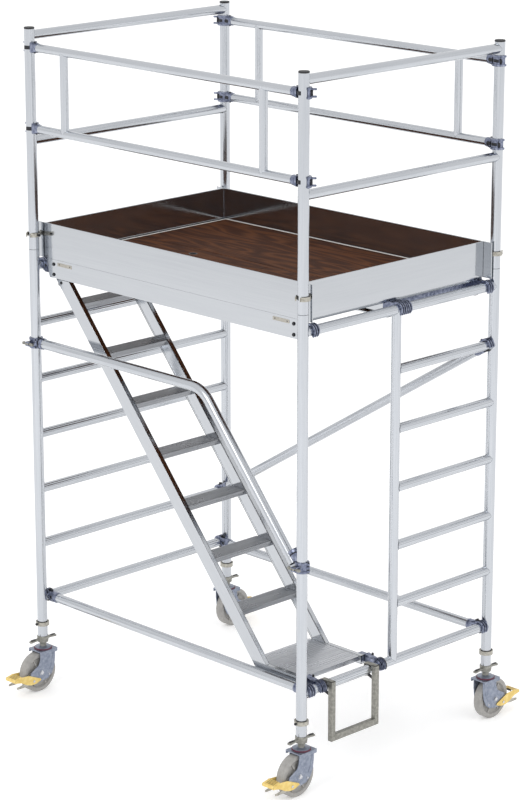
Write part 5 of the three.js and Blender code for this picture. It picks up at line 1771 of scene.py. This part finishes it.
# %% Wheel
def caster_wheel():
    tyre, hub, core = Shell(), Shell(), Shell()
    half = WHEEL_WIDTH / 2
    corner, flat_edge = 7, half - 7
    tread = [(78, -half + 5), (80, -half + 3)]
    tread += [
        (WHEEL_RADIUS - corner + corner * sin(radians(a)), -flat_edge - (corner - 3) * cos(radians(a)))
        for a in (0, 22, 45, 68, 90)
    ]
    tread += [(r, -z) for r, z in reversed(tread)]
    lathe(tyre, tread, sideways, 96, closed=True)
    web = [(10.5, -half), (30, -half), (34, -half + 3), (36, -half + 11), (72, -half + 12),
           (79.5, -half + 5)]
    web = web + [(r, -z) for r, z in reversed(web)]
    lathe(hub, web, sideways, 72, closed=True)
    for side in (-1, 1):
        for i in range(6):
            turn = i * pi / 3
            way = Vector((0, cos(turn), sin(turn)))
            face = frame_at(AXLE + way * 54 + Vector((side * (half - 12), 0, 0)), way, (side, 0, 0))
            plate(hub, slot_outline(46, 9), -1, 7, face)
        seal = frame_at(AXLE + Vector((side * (half - 0.5), 0, 0)), (0, 1, 0), (side, 0, 0))
        lathe(core, [(10.2, 0), (22, 0), (22, 1.1), (19, 1.5), (12, 1.5), (10.2, 1)], seal, 36, closed=True)
    return tyre, hub, core


# %% [markdown]
# The brake pedal is a yellow stirrup round the wheel: two arms on the fork's pivots and a tread
# with pressed ribs. It turns about the pivots and presses a shoe on the tyre. Dark strips beside
# the ribs and a dark block at the back of the tread are painted shade.


# %% Pedal
def brake_pedal():
    paint, pedal_shade, lever = Shell(), Shell(), Shell()
    inner, outer = CHEEK_OUT + 0.6, CHEEK_OUT + 4.4
    y, z = PIVOT.y, PIVOT.z
    edge, start, top = y - 119, y - 76, z + 40
    arm = rounded([
        (y + 49, z - 5.5), (y + 43, z + 4), (y - 31, z + 36), (start, top - 0.5), (edge, top - 8),
        (edge, top - 21), (start - 4, top - 29), (y - 46, z - 8), (y - 18, z - 17.5),
        (y + 14, z - 17.5),
    ], 3.5)
    tab = rounded([
        (y + 46, z - 3), (y + 2, z + 12), (y - 29, z + 34), (y - 36, z + 24), (y - 6, z - 9),
    ], 3)
    low_arm = rounded([
        (y - 12, z + 2), (y - 12, z - 12), (y - 58, z - 19), (y - 104, z - 18), (y - 106, z - 8),
        (y - 62, z - 2),
    ], 4)
    for side in (-1, 1):
        flat = end_view(side)
        plate(paint, arm, inner, outer - 0.8, flat, grain=(0, 1, 0))
        plate(paint, tab, inner, outer, flat, grain=(0, 1, 0))
        plate(lever, low_arm, inner - 3.5, inner - 0.2, flat, grain=(0, 1, 0))
    half = outer - 0.4
    across = end_view()
    folded = [
        (start, top - 3.4), (edge + 3.2, top - 11.5), (edge + 3.2, top - 22), (edge, top - 22),
        (edge, top - 9.6), (edge + 1.5, top - 8), (start, top),
    ]
    plate(paint, folded, -half, half, across)
    tilt = Vector((0, start - edge, 8)).normalized()
    for i in range(4):
        along = 9 + i * 8.5
        rib = frame_at(Vector((0, edge, top - 8.2)) + tilt * along, (1, 0, 0),
                       Vector((1, 0, 0)).cross(tilt))
        plate(paint, slot_outline(56, 3.6), 0, 1.3, rib)
        # Dark strips beside the ribs: painted shadows of the ribs.
        plate(pedal_shade, slot_outline(50, 2.2), 0.1, 0.7, rib @ Matrix.Translation((0, 4.2, 0)))
    back = frame_at(Vector((0, start, top - 0.2)), (1, 0, 0), Vector((1, 0, 0)).cross(tilt))
    plate(paint, rounded([(-half, -4), (half, -4), (half, 0), (-half, 0)], 1.4), -1, 1.6, back)
    # A dark block at the back of the tread: painted shade.
    shade_at_tread_back = [(start - 2, top - 12), (start + 6, top - 6), (start + 6, top - 2), (start - 2, top - 2)]
    plate(pedal_shade, shade_at_tread_back, -20, 20, across)
    return paint, pedal_shade, lever


# %% [markdown]
# The five moving parts ride on five bodies of the frame, so that each turns about its own joint.


# %% Put a caster at each corner
stem, seal, flange = threaded_stem()
nut, nut_pocket_shade = wing_nut()
fork, fork_bolts = caster_fork()
tyre, hub, core = caster_wheel()
pedal, pedal_shade, lever = brake_pedal()
parts = [
    ("stem", stem, zinc_steel, "spindle", "galvanised", "caster_spindle", 0),
    ("swivel_seal", seal, seal_rubber, "spindle", "galvanised", None, 0),
    ("swivel_flange", flange, fork_steel, "spindle", "galvanised", None, 0),
    ("stem_nut", nut, zinc_steel, "nut", "galvanised", "spindle_nut", 0.8),
    # The nut's dark slots are painted shade.
    ("stem_nut_pocket_shade", nut_pocket_shade, dark_steel_and_painted_shade, "nut", "galvanised", None, 0),
    ("fork", fork, fork_steel, "fork", "fork_steel", "caster_fork", 1.0),
    ("fork_bolts", fork_bolts, bright_bolt, "fork", "galvanised", None, 0.4),
    ("tyre", tyre, wheel_polyamide, "wheel", "wheel_grey", "caster_wheel", 0),
    ("wheel_hub", hub, wheel_polyamide, "wheel", "wheel_grey", None, 0.8),
    ("wheel_bearing", core, bright_bolt, "wheel", "galvanised", None, 0),
    ("pedal", pedal, pedal_paint, "pedal", "pedal_yellow", "brake_pedal", 0.7),
    # The pedal's dark strips and block are painted shade.
    ("pedal_painted_shade", pedal_shade, dark_steel_and_painted_shade, "pedal", "casting", None, 0.5),
    ("brake_lever", lever, spring_steel, "pedal", "casting", None, 0.5),
]
for corner, (side_x, side_y) in CORNERS.items():
    turned = Matrix.Rotation(0 if side_y < 0 else pi, 4, "Z")
    place = Matrix.Translation((side_x * POST_X, side_y * POST_Y, 0)) @ turned
    for name, shape, material, body, slot, node, bevel in parts:
        placed = Shell()
        placed.merge(shape, place)
        stands_for = [f"{node}_{corner}"] if node else []
        piece(f"{name}_{corner}", placed, material, f"{body}_{corner}", stands_for, bevel)

# %% [markdown]
# ## Light and floor
#
# The tower stands on a white floor under an even white sky, so its metal has plenty of light to
# reflect. A broad soft lamp over the camera's left shoulder and a weaker one at the right give
# the castings their shape. The plain view transform keeps white white.

# %% Floor and sky
scene = bpy.context.scene
scene.view_settings.view_transform = "Standard"
scene.view_settings.look = "None"

FLOOR_REACH = 200
floor_mesh = bpy.data.meshes.new("studio_floor")
signs = ((-1, -1), (1, -1), (1, 1), (-1, 1))
floor_corners = [(x * FLOOR_REACH, y * FLOOR_REACH, 0) for x, y in signs]
floor_mesh.from_pydata(floor_corners, [], [(0, 1, 2, 3)])
floor_material, floor_shader = start_finish("white_studio_floor", 0.0, 0.9)
floor_shader.inputs["Base Color"].default_value = linear("#fbfbfb")
floor_shader.inputs["Emission Color"].default_value = (1, 1, 1, 1)
floor_shader.inputs["Emission Strength"].default_value = 0.2
floor_mesh.materials.append(floor_material)
floor = bpy.data.objects.new("studio_floor", floor_mesh)
scene.collection.objects.link(floor)

world = bpy.data.worlds.new("studio_sky")
world.use_nodes = True
scene.world = world
sky = world.node_tree.nodes["Background"]
sky.inputs["Color"].default_value = (1, 1, 1, 1)
sky.inputs["Strength"].default_value = 0.98


# %% [markdown]
# An area lamp is a softbox: the larger it is, the softer its shadows.


# %% Lamps
LAMP_TARGET = (0, 0, 1.5)
LAMP_SIZE = 4.0


def soft_lamp(name, location, power):
    data = bpy.data.lights.new(name, "AREA")
    data.size = LAMP_SIZE
    data.energy = power
    lamp = bpy.data.objects.new(name, data)
    lamp.location = location
    way = Vector(location) - Vector(LAMP_TARGET)
    lamp.rotation_euler = way.to_track_quat("Z", "Y").to_euler()
    scene.collection.objects.link(lamp)


soft_lamp("key_lamp", (2.0, -9.0, 8.0), 260)
soft_lamp("fill_lamp", (8.5, 1.5, 5.0), 60)
print("sky strength", sky.inputs["Strength"].default_value)
